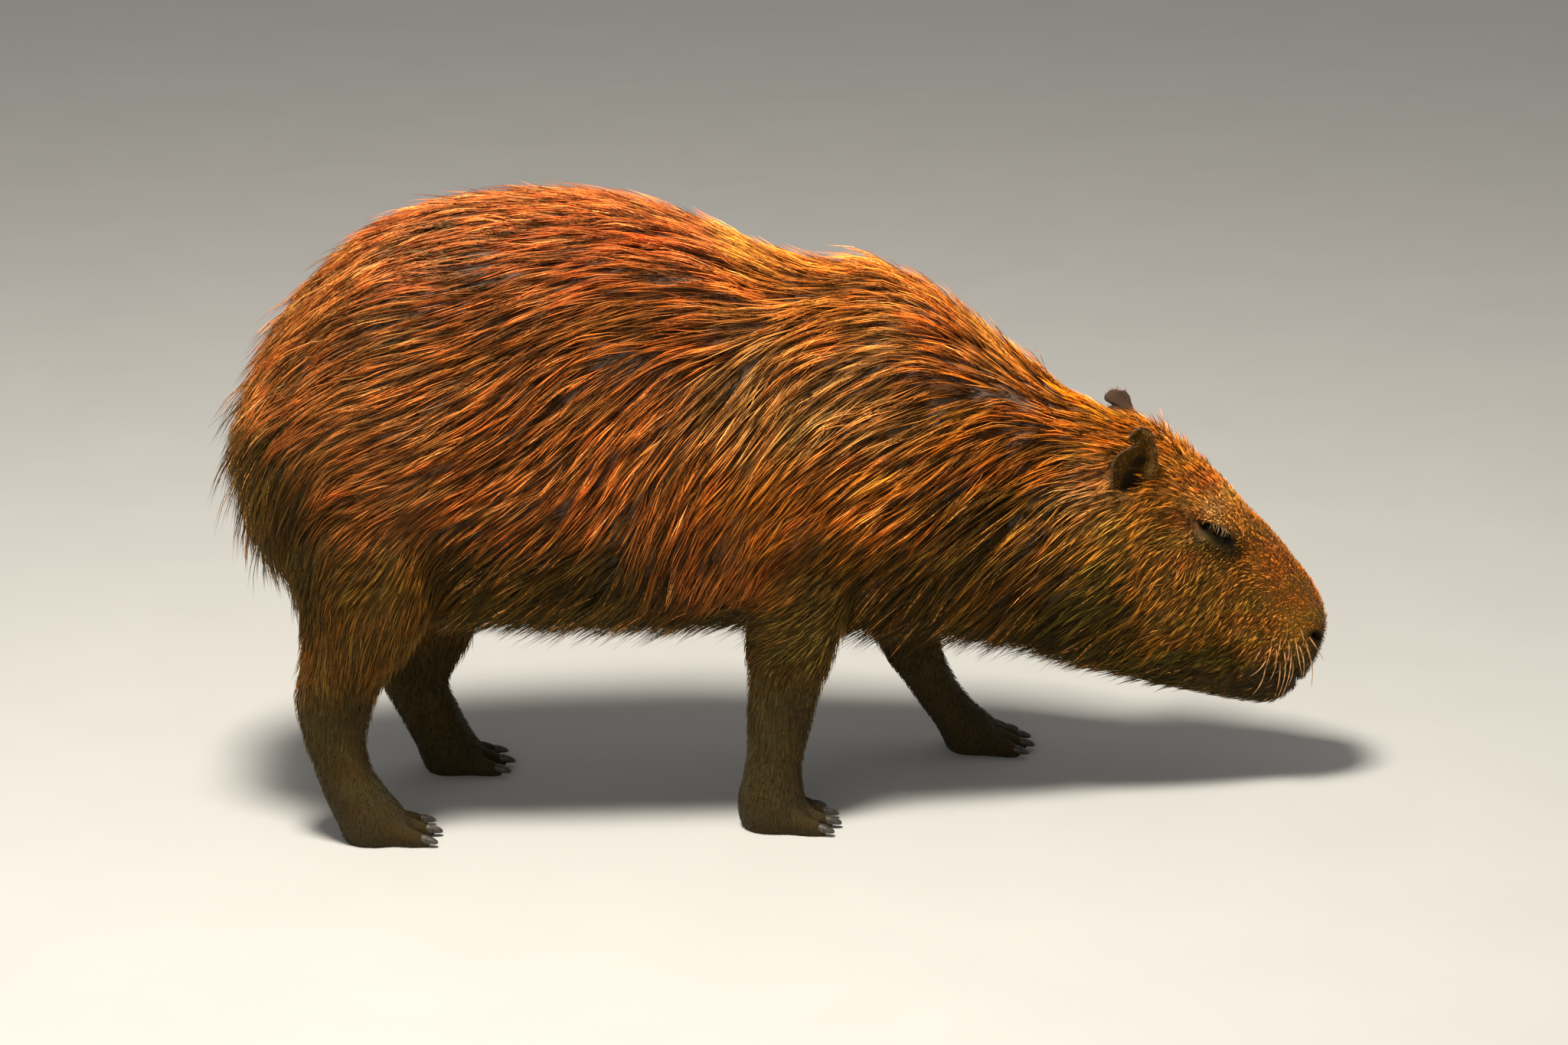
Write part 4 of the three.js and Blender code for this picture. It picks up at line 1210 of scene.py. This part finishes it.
def scattered(mesh, density, seed):
    """Random places on a mesh, so many to the square metre: three vertex numbers and their weights."""
    draw = np.random.default_rng(seed)
    mesh.calc_loop_triangles()
    corners = np.empty(len(mesh.loop_triangles) * 3, dtype=np.int32)
    area = np.empty(len(mesh.loop_triangles), dtype=np.float32)
    mesh.loop_triangles.foreach_get("vertices", corners)
    mesh.loop_triangles.foreach_get("area", area)
    corners = corners.reshape(-1, 3)
    number = np.floor(density[corners].mean(axis=1) * area + draw.random(len(area))).astype(int)
    chosen = corners[np.repeat(np.arange(len(area)), number)]
    spot = draw.random((len(chosen), 2))
    over = spot.sum(axis=1) > 1
    spot[over] = 1 - spot[over]
    return chosen, np.column_stack([1 - spot.sum(axis=1), spot])


def at_roots(values, corners, weights):
    """A value of the hide's vertices, read at the roots of hairs."""
    picked = values[corners]
    weights = weights if picked.ndim == 2 else weights[:, :, None]
    return (picked * weights).sum(axis=1)


def nearest_on(tree, points):
    """Nearest places on a surface, and the outward direction there."""
    found = [tree.find_nearest(Vector(p)) for p in points]
    return np.array([f[0] for f in found]), np.array([f[1] for f in found])


def swung_lie(points, normals, swing):
    """The lie of the coat, turned a little on the hide by a swing of each lock's own."""
    lie = lie_of(points, normals)
    return unit(lie + np.cross(normals, lie) * swing[:, None])


def paths_of_locks(tree, roots, normals, length, height, stand, swing):
    """Paths that start at the roots, follow the lie and level off at a height above the hide."""
    place = roots.copy()
    rise = height / length
    run = unit(swung_lie(roots, normals, swing) + normals * (LOCK_RISE * rise + stand)[:, None])
    paths = [roots]
    for step in range(LOCK_STEPS):
        place = place + run * (length / LOCK_STEPS)[:, None]
        near, out = nearest_on(tree, place)
        share = (step + 1) / LOCK_STEPS
        wanted = height * (1 - (1 - share) ** 2)
        gap = ((place - near) * out).sum(axis=1)
        # Locks that pass the edge of belly or rump hang clear of it and keep their own way
        below = ease(-out[:, 2], 0.0, 0.40) * (near[:, 2] > LOWEST_HANGING)
        behind = ease(-out[:, 0], 0.55, 0.85) * (near[:, 2] > LOWEST_BEHIND)
        free = np.clip(below + behind, 0, 1) * ease(length, *HANGING_LENGTHS)
        hold = HOLD_DOWN * (1 - free) * (1 - np.clip(stand, 0, 1))
        hold = np.where(gap < wanted, HOLD_UP, hold)
        place = place + out * ((wanted - gap) * hold)[:, None]
        paths.append(place)
        sag = np.array((0, 0, -1)) * (LOCK_SAG * share + HANG_SAG * free)[:, None]
        loose = np.clip(free + stand * 0.8, 0, 1)
        stiff = mingled(LOCK_STIFFNESS, HANG_STIFFNESS, loose)[:, None]
        bent_lie = swung_lie(near, out, swing * math.cos(LOCK_WAVE * share))
        run = unit(run * stiff + bent_lie * (1 - stiff) + sag)
    return np.stack(paths, axis=1)


def locks_among(roots, spacing):
    """Chooses one root in each cell of a grid as the one that leads a lock."""
    halves = np.round(spacing / MM * 2)
    size = halves / 2 * MM
    cells = np.column_stack([np.floor(roots / size[:, None]), halves]).astype(int)
    return np.unique(cells, axis=0, return_index=True)[1]


def sample_paths(paths, share):
    """Places on paths, each path at its own shares of its length."""
    at = np.clip(share, 0, 1) * LOCK_STEPS
    low = np.minimum(at.astype(int), LOCK_STEPS - 1)
    part = (at - low)[:, :, None]
    rows = np.arange(len(paths))[:, None]
    return paths[rows, low] * (1 - part) + paths[rows, low + 1] * part


def spike_pattern(rings):
    """Faces of one three-sided spike, and the place of each face corner on the spike laid flat."""
    faces, flat = [(0, 2, 1)], [(0.0, 0.0), (0.66, 0.0), (0.33, 0.0)]
    for ring in range(rings - 1):
        for i in range(3):
            a, b = ring * 3 + i, ring * 3 + (i + 1) % 3
            low, high = ring / rings, (ring + 1) / rings
            faces.append((a, b, b + 3, a + 3))
            flat += [(i / 3, low), ((i + 1) / 3, low), ((i + 1) / 3, high), (i / 3, high)]
    last = (rings - 1) * 3
    for i in range(3):
        faces.append((last + i, last + (i + 1) % 3, rings * 3))
        flat += [(i / 3, (rings - 1) / rings), ((i + 1) / 3, (rings - 1) / rings), ((i + 0.5) / 3, 1.0)]
    return faces, np.array(flat)


def spikes(middle, across, radius):
    """Corners of three-sided spikes round their middle lines, each ending in a point."""
    run = unit(np.gradient(middle, axis=1))
    aside = unit(np.cross(run, across[:, None, :]))
    over = np.cross(aside, run)
    count, places = middle.shape[0], []
    for angle in (90, -30, -150):
        turn = math.radians(angle)
        reach = aside * math.cos(turn) + over * math.sin(turn)
        places.append(middle[:, :-1] + reach[:, :-1] * radius[:, :, None])
    rings = np.stack(places, axis=2).reshape(count, -1, 3)
    return np.concatenate([rings, middle[:, -1:]], axis=1)


BAKE_PATCH = 0.003


def laid_flat(roots, upright):
    """Places of roots on the piece of hide unrolled flat: along its length and round it."""
    low, high = roots.min(axis=0), roots.max(axis=0)
    if upright:
        middle = (low + high) / 2
        along = (roots[:, 2] - low[2]) / (high[2] - low[2])
        turn = np.arctan2(roots[:, 1] - middle[1], roots[:, 0] - middle[0]) / (2 * math.pi) + 0.5
    else:
        along = (roots[:, 0] - low[0]) / (high[0] - low[0])
        turn = np.arctan2(np.abs(roots[:, 1]), roots[:, 2] - (low[2] + high[2]) / 2) / math.pi
    return np.stack([along, turn], axis=1) * (1 - BAKE_PATCH)


def mesh_of_spikes(name, sets):
    """One mesh of several sets of spikes, with colour, place along the hair and the flat map."""
    mesh = bpy.data.meshes.new(name)
    points, loops, starts, flat, colour, state = [], [], [], [], [], []
    vertex_count = loop_count = 0
    for corners, rings, base, root_colour, tone, shade in sets:
        faces, local = spike_pattern(rings)
        count, each = corners.shape[:2]
        pattern = np.array([v for face in faces for v in face])
        first = np.arange(count)[:, None] * each + vertex_count
        loops.append((first + pattern[None, :]).ravel())
        begin = np.cumsum([0] + [len(face) for face in faces[:-1]])
        starts.append((np.arange(count)[:, None] * len(pattern) + begin[None, :] + loop_count).ravel())
        flat.append((base[:, None, :] + local[None, :, :] * BAKE_PATCH).reshape(-1, 2))
        along = np.append(np.repeat(np.arange(rings) / rings, 3), 1.0)
        each_state = np.broadcast_arrays(along[None, :], tone[:, None], shade[:, None])
        state.append(np.stack(each_state, axis=2).reshape(-1, 3))
        colour.append(np.repeat(root_colour, each, axis=0))
        points.append(corners.reshape(-1, 3))
        vertex_count += count * each
        loop_count += count * len(pattern)
    starts = np.concatenate(starts)
    mesh.vertices.add(vertex_count)
    mesh.loops.add(loop_count)
    mesh.polygons.add(len(starts))
    mesh.vertices.foreach_set("co", np.concatenate(points).astype(np.float32).ravel())
    mesh.loops.foreach_set("vertex_index", np.concatenate(loops).astype(np.int32))
    mesh.polygons.foreach_set("loop_start", starts.astype(np.int32))
    mesh.update(calc_edges=True)
    smooth_shaded(mesh)
    mesh.uv_layers.new(name="OFBake")
    mesh.uv_layers["OFBake"].uv.foreach_set("vector", np.concatenate(flat).astype(np.float32).ravel())
    set_colours(mesh, "marking", np.concatenate(colour))
    set_vectors(mesh, "hair", np.concatenate(state))
    return mesh


def coat_material():
    """Coarse hair: banded colour with fine flecks, and a dull shine that varies in small patches."""
    made, tree, shader = new_material(
        "coat", Roughness=0.42, Specular_IOR_Level=0.5, Specular_Tint=GOLDEN_SHINE)
    along, tone, shade = split(tree, read(tree, "hair", "Vector"))
    place = place_on(tree)
    flecks = ramp(tree, grain(tree, place, 240, 2.0), 0.3, 0.7, -0.09, 0.09)
    tone = sum_node(tree, "ADD", tone, flecks)
    colour = hair_colour_of(tree, read(tree, "marking", "Color"), along, tone, shade)
    feed(tree, shader.inputs["Base Color"], colour)
    feed(tree, shader.inputs["Roughness"], ramp(tree, grain(tree, place, 700, 1.0), 0.3, 0.7, 0.36, 0.56))
    return made


HAIR_REACH, DRAW_IN = (0.66, 1.0), (0.62, 0.98)
STRAY_SHARE, FAR_STRAY, NEAR_STRAY, STRAY_SIDEWAYS = 0.08, 0.14, 0.020, 0.35
LOWEST_HAIR, ROOT_SUNK_MM = 1.2 * MM, 1.2
# Share of the way along a hair and its share of the full width there
HAIR_PROFILE, WIDTH_SPREAD = ((0, 0.75), (0.35, 1.0), (0.7, 0.70), (1, 0.3)), (0.75, 1.2)


def hair_arrays(paths, lock, roots, normals, lengths, depths, layers, rings, seed):
    """Corners of hairs that each follow their lock's path from their own root."""
    draw = np.random.default_rng(seed)
    count = len(roots)
    share = np.linspace(0, 1, rings + 1)[None, :]
    reach = draw.uniform(*HAIR_REACH, count)[:, None]
    middle = sample_paths(paths[lock], share * reach)
    offset = roots - paths[lock, 0]
    draw_in = draw.uniform(*DRAW_IN, count)[:, None] * share ** 0.9
    middle = middle + offset[:, None, :] * (1 - draw_in)[:, :, None]
    stray = np.where(draw.random(count) < STRAY_SHARE, FAR_STRAY, NEAR_STRAY)
    stray = stray[:, None] * lengths[:, None] * share ** 2
    way = unit(draw.normal(size=(count, 3)))
    way[:, 1] *= STRAY_SIDEWAYS
    middle = middle + way[:, None, :] * stray[:, :, None]
    layer = (layers * depths)[:, None] * ease(share, 0.0, 0.6)
    middle = middle + normals[:, None, :] * layer[:, :, None]
    middle[:, :, 2] = np.maximum(middle[:, :, 2], LOWEST_HAIR)
    middle[:, 0] -= normals * ROOT_SUNK_MM * MM
    profile = np.interp(share[0, :-1], *zip(*HAIR_PROFILE))[None, :]
    width = by_length(lengths, 2) * MM * draw.uniform(*WIDTH_SPREAD, count)
    return spikes(middle, normals, width[:, None] / 2 * profile)


# Where the hairs grow: how long and how close they are over the hide
hide_tree = surface_of(hide_points, hide_mesh)
hair_length = planned[:, 1].copy()
mirrored = on_one_side(hide_points)
for place, near, far, least in SHORTENED:
    hair_length *= mingled(least, 1, ease(np.linalg.norm(mirrored - place, axis=1), near, far))
density = by_length(hair_length, 1) * TO_SQUARE_METRE
for place, reach, amount in THICKETS:
    density *= 1 + amount * hump(np.linalg.norm(mirrored - place, axis=1), reach)
density *= np.where(np.isin(hide_groups, LOWER_LEGS), LEG_SHARE, 1)
density *= np.where(np.isin(hide_groups, UPPER_LEGS), THIGH_SHARE, 1)
density *= np.where(hide_groups == "claw", 0, 1)
in_hole = ease(hollow - in_pit * PIT_SHADE, 0.0, 0.35)
density *= (1 - bare) * (1 - in_hole) * (1 - in_pit) * (1 - is_ear)
on_sole = (hide_points[:, 2] < BARE_SOLE_HEIGHT) & (hide_normals[:, 2] < -BARE_SOLE_FACING)
density *= np.where(on_sole, 0, 1)
density *= 1 + THINNING * ripple(hide_points, THINNING_SIZE, 11)
corners, weights = scattered(hide_mesh, np.maximum(density, 0), 21)
roots = at_roots(hide_points, corners, weights)
root_normals = unit(at_roots(hide_normals, corners, weights))
root_lengths = at_roots(hair_length, corners, weights)
root_depths = at_roots(planned[:, 0], corners, weights)
root_groups = hide_groups[corners[np.arange(len(corners)), weights.argmax(axis=1)]]
root_colours = marking_of(roots, root_normals)

# One hair in each small patch leads a lock, and its path is laid first
leaders = locks_among(roots, by_length(root_lengths, 3) * MM)
draw = np.random.default_rng(22)
lock_roots, lock_normals = roots[leaders], root_normals[leaders]
lock_length = root_lengths[leaders] * draw.uniform(0.80, 1.16, len(leaders))
lock_height = root_depths[leaders] * draw.uniform(0.30, 1.0, len(leaders))
stand = np.zeros(len(leaders))
for place, reach, amount in TUFTS:
    apart = np.linalg.norm(lock_roots[:, (0, 2)] - place, axis=1)
    stand += amount * hump(apart, reach) * draw.uniform(0.3, 1.0, len(leaders))
stand += (draw.random(len(leaders)) < WISP_SHARE) * WISP_STAND

# Along the belly and behind the rump the locks start clear of the hide, and on the flat sides close to it
fringe = ease(-lock_normals[:, 2], 0.0, 0.5) * (lock_roots[:, 2] > 0.10) * ease(lock_length, 0.02, 0.05)
fringe += ease(-lock_normals[:, 0], 0.6, 0.9) * ease(lock_roots[:, 2], 0.30, 0.40) * 0.5
stand += fringe * draw.uniform(0.0, FRINGE_STAND, len(leaders))
stand *= 1 - FLANK_FLATNESS * ease(np.abs(lock_normals[:, 1]), 0.75, 0.95) * (lock_roots[:, 0] < HEAD_AT)
at_rear = (lock_roots[:, 0] < REAR_AT) & (lock_roots[:, 2] > REAR_FROM)
wild = at_rear & (draw.random(len(leaders)) < WILD_SHARE)
stand += wild * draw.uniform(*WILD_STAND, len(leaders))
lock_length *= 1 + 0.1 * wild
face = ease(lock_roots[:, 0], HEAD_AT, FACE_AT)
swing = draw.normal(size=len(leaders)) * mingled(LOCK_SWING, FACE_SWING, face)
paths = paths_of_locks(hide_tree, lock_roots, lock_normals, lock_length, lock_height, stand, swing)
lock_tree = KDTree(len(leaders))
for number, leader in enumerate(leaders):
    lock_tree.insert(Vector(roots[leader]), number)
lock_tree.balance()
root_locks = np.array([lock_tree.find(Vector(p))[1] for p in roots])
lock_tone, lock_shade = draw.random((2, len(leaders)))
# The hairs of a short lock are more alike than those of a long one, in shade more than in tone
LIKENESS, LIKENESS_LOSS, LOSS_LENGTHS = 0.72, 0.22, (0.030, 0.055)
likeness = LIKENESS - LIKENESS_LOSS * ease(root_lengths, *LOSS_LENGTHS)
root_tones = mingled(draw.random(len(roots)), lock_tone[root_locks], likeness - 0.22)
root_shades = mingled(draw.random(len(roots)), lock_shade[root_locks], likeness) ** SHADE_SKEW

# Painted shade: hairs that lie deep in the coat are darkened, as if shaded by those on top of it
LAYERS, DEEP_SHADE = (-0.40, 0.22), 0.35
root_layers = draw.uniform(*LAYERS, len(roots))
root_shades *= mingled(DEEP_SHADE, 1, ease(root_layers, LAYERS[0], 0.05))

# The hair of the legs is nearly all of one colour
on_leg = np.isin(root_groups, LOWER_LEGS + UPPER_LEGS)
root_tones = mingled(0.5, root_tones, 1 - LEG_EVENNESS * on_leg)
root_shades = mingled(LEG_SHADE, root_shades, 1 - LEG_EVENNESS * on_leg)

coat_finish = coat_material()
LIMBS = ("thigh", "hind_leg", "upper_foreleg", "foreleg")
# Long hairs bend at more rings than short ones
LONG_RINGS, SHORT_RINGS = 3, 2
long_hair = root_lengths >= LONG_HAIR
seed = 30
for piece, groups_in_piece in COAT_PIECES.items():
    for side, side_name in SIDES:
        mine = np.isin(root_groups, groups_in_piece) & (roots[:, 1] * side >= 0)
        sets = []
        for rings, these in ((LONG_RINGS, mine & long_hair), (SHORT_RINGS, mine & ~long_hair)):
            if not these.any():
                continue
            seed += 1
            hair = hair_arrays(
                paths, root_locks[these], roots[these], root_normals[these], root_lengths[these],
                root_depths[these], root_layers[these], rings, seed)
            flat = laid_flat(roots[mine], piece in LIMBS)[these[mine]]
            sets.append((hair, rings, flat, root_colours[these], root_tones[these], root_shades[these]))
        name = f"coat_{piece}_{side_name}"
        dress(add_object(name, mesh_of_spikes(name, sets)), coat_finish)

# Ear hair
# Fine tan hairs lie close on the inner side of each ear, fanning out and back from its opening, and a few
# short ones lie on its leathery back.
EAR_HAIR_LENGTH, EAR_HAIR_WIDTH, EAR_HAIR_DENSITY = 12 * MM, 0.36 * MM, 4.5e5
EAR_BACK_SHARE = 0.05
EAR_CANAL = (0.343, 0.070, 0.346)
EAR_HAIR_SWEEP, EAR_HAIR_SCATTER, EAR_HAIR_STAND = (-0.35, 0, 0.1), 0.26, (0.06, 0.26)
EAR_HAIR_SUNK_MM = 0.3
INSIDE_HAIR_COLOUR, BACK_HAIR_COLOUR = linear((0.39, 0.27, 0.07)), linear((0.28, 0.21, 0.16))
ear_cover = mingled(EAR_BACK_SHARE, 1, np.clip(ear_inside, 0, 1))
ear_density = is_ear * (1 - ease(hollow, 0.5, 0.9)) * ear_cover
corners, weights = scattered(hide_mesh, ear_density * EAR_HAIR_DENSITY, 23)
ear_roots = at_roots(hide_points, corners, weights)
ear_normals = unit(at_roots(hide_normals, corners, weights))
draw = np.random.default_rng(24)
of_side = np.column_stack([np.ones(len(ear_roots)), np.sign(ear_roots[:, 1]), np.ones(len(ear_roots))])
away_from_canal = unit(ear_roots - np.array(EAR_CANAL) * of_side)
scatter = draw.normal(size=away_from_canal.shape) * EAR_HAIR_SCATTER
swept = away_from_canal + np.array(EAR_HAIR_SWEEP) + scatter
swept -= ear_normals * (swept * ear_normals).sum(axis=1, keepdims=True)
way = unit(unit(swept) + ear_normals * draw.uniform(*EAR_HAIR_STAND, len(ear_roots))[:, None])
inside = np.clip(at_roots(ear_inside, corners, weights), 0, 1)[:, None]
ear_hair_length = EAR_HAIR_LENGTH * draw.uniform(0.4, 1.0, len(ear_roots)) * (0.4 + 0.6 * inside[:, 0])
ear_hair_colour = mingled(BACK_HAIR_COLOUR, INSIDE_HAIR_COLOUR, inside)
share = np.linspace(0, 1, SHORT_RINGS + 1)
middle = ear_roots[:, None, :] + way[:, None, :] * (ear_hair_length[:, None] * share)[:, :, None]
middle[:, 0] -= ear_normals * EAR_HAIR_SUNK_MM * MM
width = np.full((len(ear_roots), 1), EAR_HAIR_WIDTH / 2) * np.array((1.0, 0.7))
for side, side_name in SIDES:
    mine = ear_roots[:, 1] * side > 0
    hair = spikes(middle[mine], ear_normals[mine], width[mine])
    flat = laid_flat(ear_roots[mine], True)
    tone, shade = np.full(mine.sum(), 0.5), draw.random(mine.sum())
    sets = [(hair, SHORT_RINGS, flat, ear_hair_colour[mine], tone, shade)]
    name = f"ear_hair_{side_name}"
    dress(add_object(name, mesh_of_spikes(name, sets)), coat_finish)

# Whiskers and lashes
# Stout, pale whiskers of stiff hair hang from the side of the muzzle, and a row of pale lashes hangs from
# the upper lid over the eye. Each is a smooth round taper rooted in the skin.
BRISTLE_SIDES, BRISTLE_RINGS, BRISTLE_TAPER = 6, 7, 0.8
WHISKER_COLOURS = linear((0.76, 0.56, 0.37)), linear((0.48, 0.33, 0.19))
# Root on the side view, slope below level at root and tip (180 is straight back), length in millimetres
WHISKERS = (
    (486, 160, 122, 152, 32), (492, 150, 112, 142, 38), (496, 166, 104, 130, 42), (500, 158, 98, 124, 50),
    (505, 168, 92, 114, 46), (508, 156, 92, 118, 56), (512, 166, 86, 106, 50), (516, 158, 84, 108, 58),
    (520, 168, 76, 98, 48), (523, 160, 74, 100, 54), (527, 169, 64, 90, 44), (530, 160, 64, 94, 48),
    (534, 167, 52, 80, 34), (500, 176, 118, 136, 28), (511, 177, 100, 118, 26), (524, 178, 70, 88, 24),
    (490, 138, 110, 126, 40), (505, 142, 96, 110, 40), (518, 144, 84, 98, 36),
)
WHISKER_WIDTH, WHISKER_FLARE, WHISKER_SUNK_MM = 1.7 * MM, 0.50, 1.5
WHISKER_SWAY, WHISKER_LENGTHS = 13, (0.62, 1.08)
LASH_COLOURS = linear((0.56, 0.44, 0.30)), linear((0.30, 0.22, 0.14))
LASHES, LASH_LENGTH, LASH_WIDTH = 15, 12 * MM, 0.95 * MM
LASH_FIRST, LASH_SPREAD = -0.72, 1.50
LASH_LENGTHS, LASH_LEAN = (0.45, 1.1), (-0.75, 0.40)
LASH_ABOVE_SLIT, LASH_PROUD = 0.6 * MM, 0.2 * MM


def bristle_mesh(name, lines, width):
    """Round tapers along lines, joined as one mesh."""
    work = bmesh.new()
    for line in lines:
        line = np.array(line)
        run = unit(np.gradient(line, axis=0))
        aside = unit(np.cross(run, (0.31, 0.23, 0.92)))
        over = np.cross(aside, run)
        rings = []
        for at, place in enumerate(line[:-1]):
            radius = width / 2 * (1 - BRISTLE_TAPER * (at / (len(line) - 1)) ** 1.4)
            ring = []
            for step in range(BRISTLE_SIDES):
                turn = -2 * math.pi * step / BRISTLE_SIDES
                reach = aside[at] * math.cos(turn) + over[at] * math.sin(turn)
                ring.append(work.verts.new(place + reach * radius))
            rings.append(ring)
        tip = work.verts.new(line[-1])
        work.faces.new(rings[0][::-1])
        for low, high in zip(rings[:-1], rings[1:]):
            for i in range(BRISTLE_SIDES):
                j = (i + 1) % BRISTLE_SIDES
                work.faces.new((low[i], low[j], high[j], high[i]))
        for i in range(BRISTLE_SIDES):
            work.faces.new((rings[-1][i], rings[-1][(i + 1) % BRISTLE_SIDES], tip))
    mesh = bpy.data.meshes.new(name)
    bmesh.ops.recalc_face_normals(work, faces=work.faces)
    work.to_mesh(mesh)
    work.free()
    smooth_shaded(mesh)
    return mesh


def bristle_material(name, colours):
    """Pale, horny hair, darker here and there along its length."""
    made, tree, shader = new_material(name, Roughness=0.42, Specular_IOR_Level=0.2)
    colour = mixed(tree, ramp(tree, grain(tree, place_on(tree), 160, 2.0), 0.35, 0.7), *colours)
    feed(tree, shader.inputs["Base Color"], colour)
    return made


def whisker_lines(side):
    """Curved lines of one side's whiskers."""
    lines = []
    draw = np.random.default_rng(26)
    for x, z, slope, tip_slope, length in WHISKERS:
        slope += draw.uniform(-WHISKER_SWAY, WHISKER_SWAY)
        tip_slope += draw.uniform(-2, 2) * WHISKER_SWAY
        length *= draw.uniform(*WHISKER_LENGTHS)
        aim = Vector((x * MM, side * 0.12, z * MM))
        root, out, _, _ = hide_tree.ray_cast(aim, Vector((0, -side, 0)))
        place = np.array(root) - np.array(out) * WHISKER_SUNK_MM * MM
        line = [place]
        for step in range(BRISTLE_RINGS):
            share = step / (BRISTLE_RINGS - 1)
            angle = math.radians(mingled(slope, tip_slope, share))
            down = np.array((math.cos(angle), 0, -math.sin(angle)))
            way = unit(down + np.array((0.15, side, 0)) * WHISKER_FLARE * (1 - 0.7 * share))
            place = place + way * (length * MM / BRISTLE_RINGS)
            line.append(place)
        lines.append(line)
    return lines


def lash_lines(side):
    """Curved lines of one eye's lashes, rooted along the edge of the upper lid."""
    centre, out, front, up = eye_frame(side)
    lines = []
    draw = np.random.default_rng(27)
    for number in range(LASHES):
        share = (number + draw.uniform(0.1, 0.9)) / LASHES
        along_share = LASH_FIRST + LASH_SPREAD * share
        along = SLIT_HALF_LENGTH * along_share + SLIT_SHIFT
        arch = SLIT_UP * (1 + SLIT_ARCH * along_share)
        across = arch * math.sqrt(1 - min(abs(along_share), 1) ** 2) ** SLIT_CORNERS + LASH_ABOVE_SLIT
        on_lid = max((EYE_RADIUS + LID_THICKNESS) ** 2 - along ** 2 - across ** 2, 0)
        place = centre + front * along + up * across + out * (math.sqrt(on_lid) + LASH_PROUD)
        length = LASH_LENGTH * (0.75 + 0.3 * math.sin(math.pi * share)) * draw.uniform(*LASH_LENGTHS)
        lean = draw.uniform(*LASH_LEAN)
        line = [place]
        for step in range(BRISTLE_RINGS):
            bend = step / (BRISTLE_RINGS - 1)
            way = unit(out * (0.95 - 0.75 * bend) + np.array((lean, 0, -1)) * (0.45 + 0.75 * bend))
            place = place + way * (length / BRISTLE_RINGS)
            line.append(place)
        lines.append(line)
    return lines


whisker_finish = bristle_material("whisker", WHISKER_COLOURS)
lash_finish = bristle_material("lash", LASH_COLOURS)
for side, side_name in SIDES:
    for kind, lines, width, finish in (
            ("whiskers", whisker_lines(side), WHISKER_WIDTH, whisker_finish),
            ("lashes", lash_lines(side), LASH_WIDTH, lash_finish)):
        name = f"{kind}_{side_name}"
        dress(add_object(name, bristle_mesh(name, lines, width)), finish)

# Floor and light
# The model stands on a plain pale studio floor under a broad soft light from above, with a weaker one at
# the side of the camera and an even grey all round.
FLOOR_HALF, FLOOR_GRAIN = 20, 6
FLOOR_COLOURS = (0.49, 0.48, 0.46), (0.53, 0.52, 0.50)
floor_corners = [(x * FLOOR_HALF, y * FLOOR_HALF, 0) for x, y in ((-1, -1), (1, -1), (1, 1), (-1, 1))]
floor_mesh = bpy.data.meshes.new("floor")
floor_mesh.from_pydata(floor_corners, [], [(0, 1, 2, 3)])
floor = add_object("floor", floor_mesh)
floor_finish, floor_tree, floor_shader = new_material("floor", Roughness=0.85)
floor_colour = mixed(floor_tree, grain(floor_tree, place_on(floor_tree), FLOOR_GRAIN), *FLOOR_COLOURS)
feed(floor_tree, floor_shader.inputs["Base Color"], floor_colour)
floor_mesh.materials.append(floor_finish)


LIGHT_TARGET = Vector((0, 0, 0.3))
WORLD_COLOUR, WORLD_STRENGTH = (0.80, 0.79, 0.76, 1), 0.37


def soft_light(name, place, size, power, colour):
    """A square soft light turned towards the middle of the model."""
    lamp = bpy.data.lights.new(name, "AREA")
    lamp.size = size
    lamp.energy = power
    lamp.color = colour
    made = add_object(name, lamp)
    made.location = place
    made.rotation_mode = "QUATERNION"
    made.rotation_quaternion = (LIGHT_TARGET - Vector(place)).to_track_quat("-Z", "Y")


soft_light("key", (-0.6, -1.0, 3.2), 0.7, 185, (1.0, 0.95, 0.85))
soft_light("fill", (-1.6, -3.6, 1.6), 2.2, 22, (1.0, 0.98, 0.96))
bpy.context.scene.view_settings.view_transform = "Standard"
world = bpy.data.worlds.new("world")
bpy.context.scene.world = world
world.use_nodes = True
background = world.node_tree.nodes["Background"]
background.inputs["Color"].default_value = WORLD_COLOUR
background.inputs["Strength"].default_value = WORLD_STRENGTH
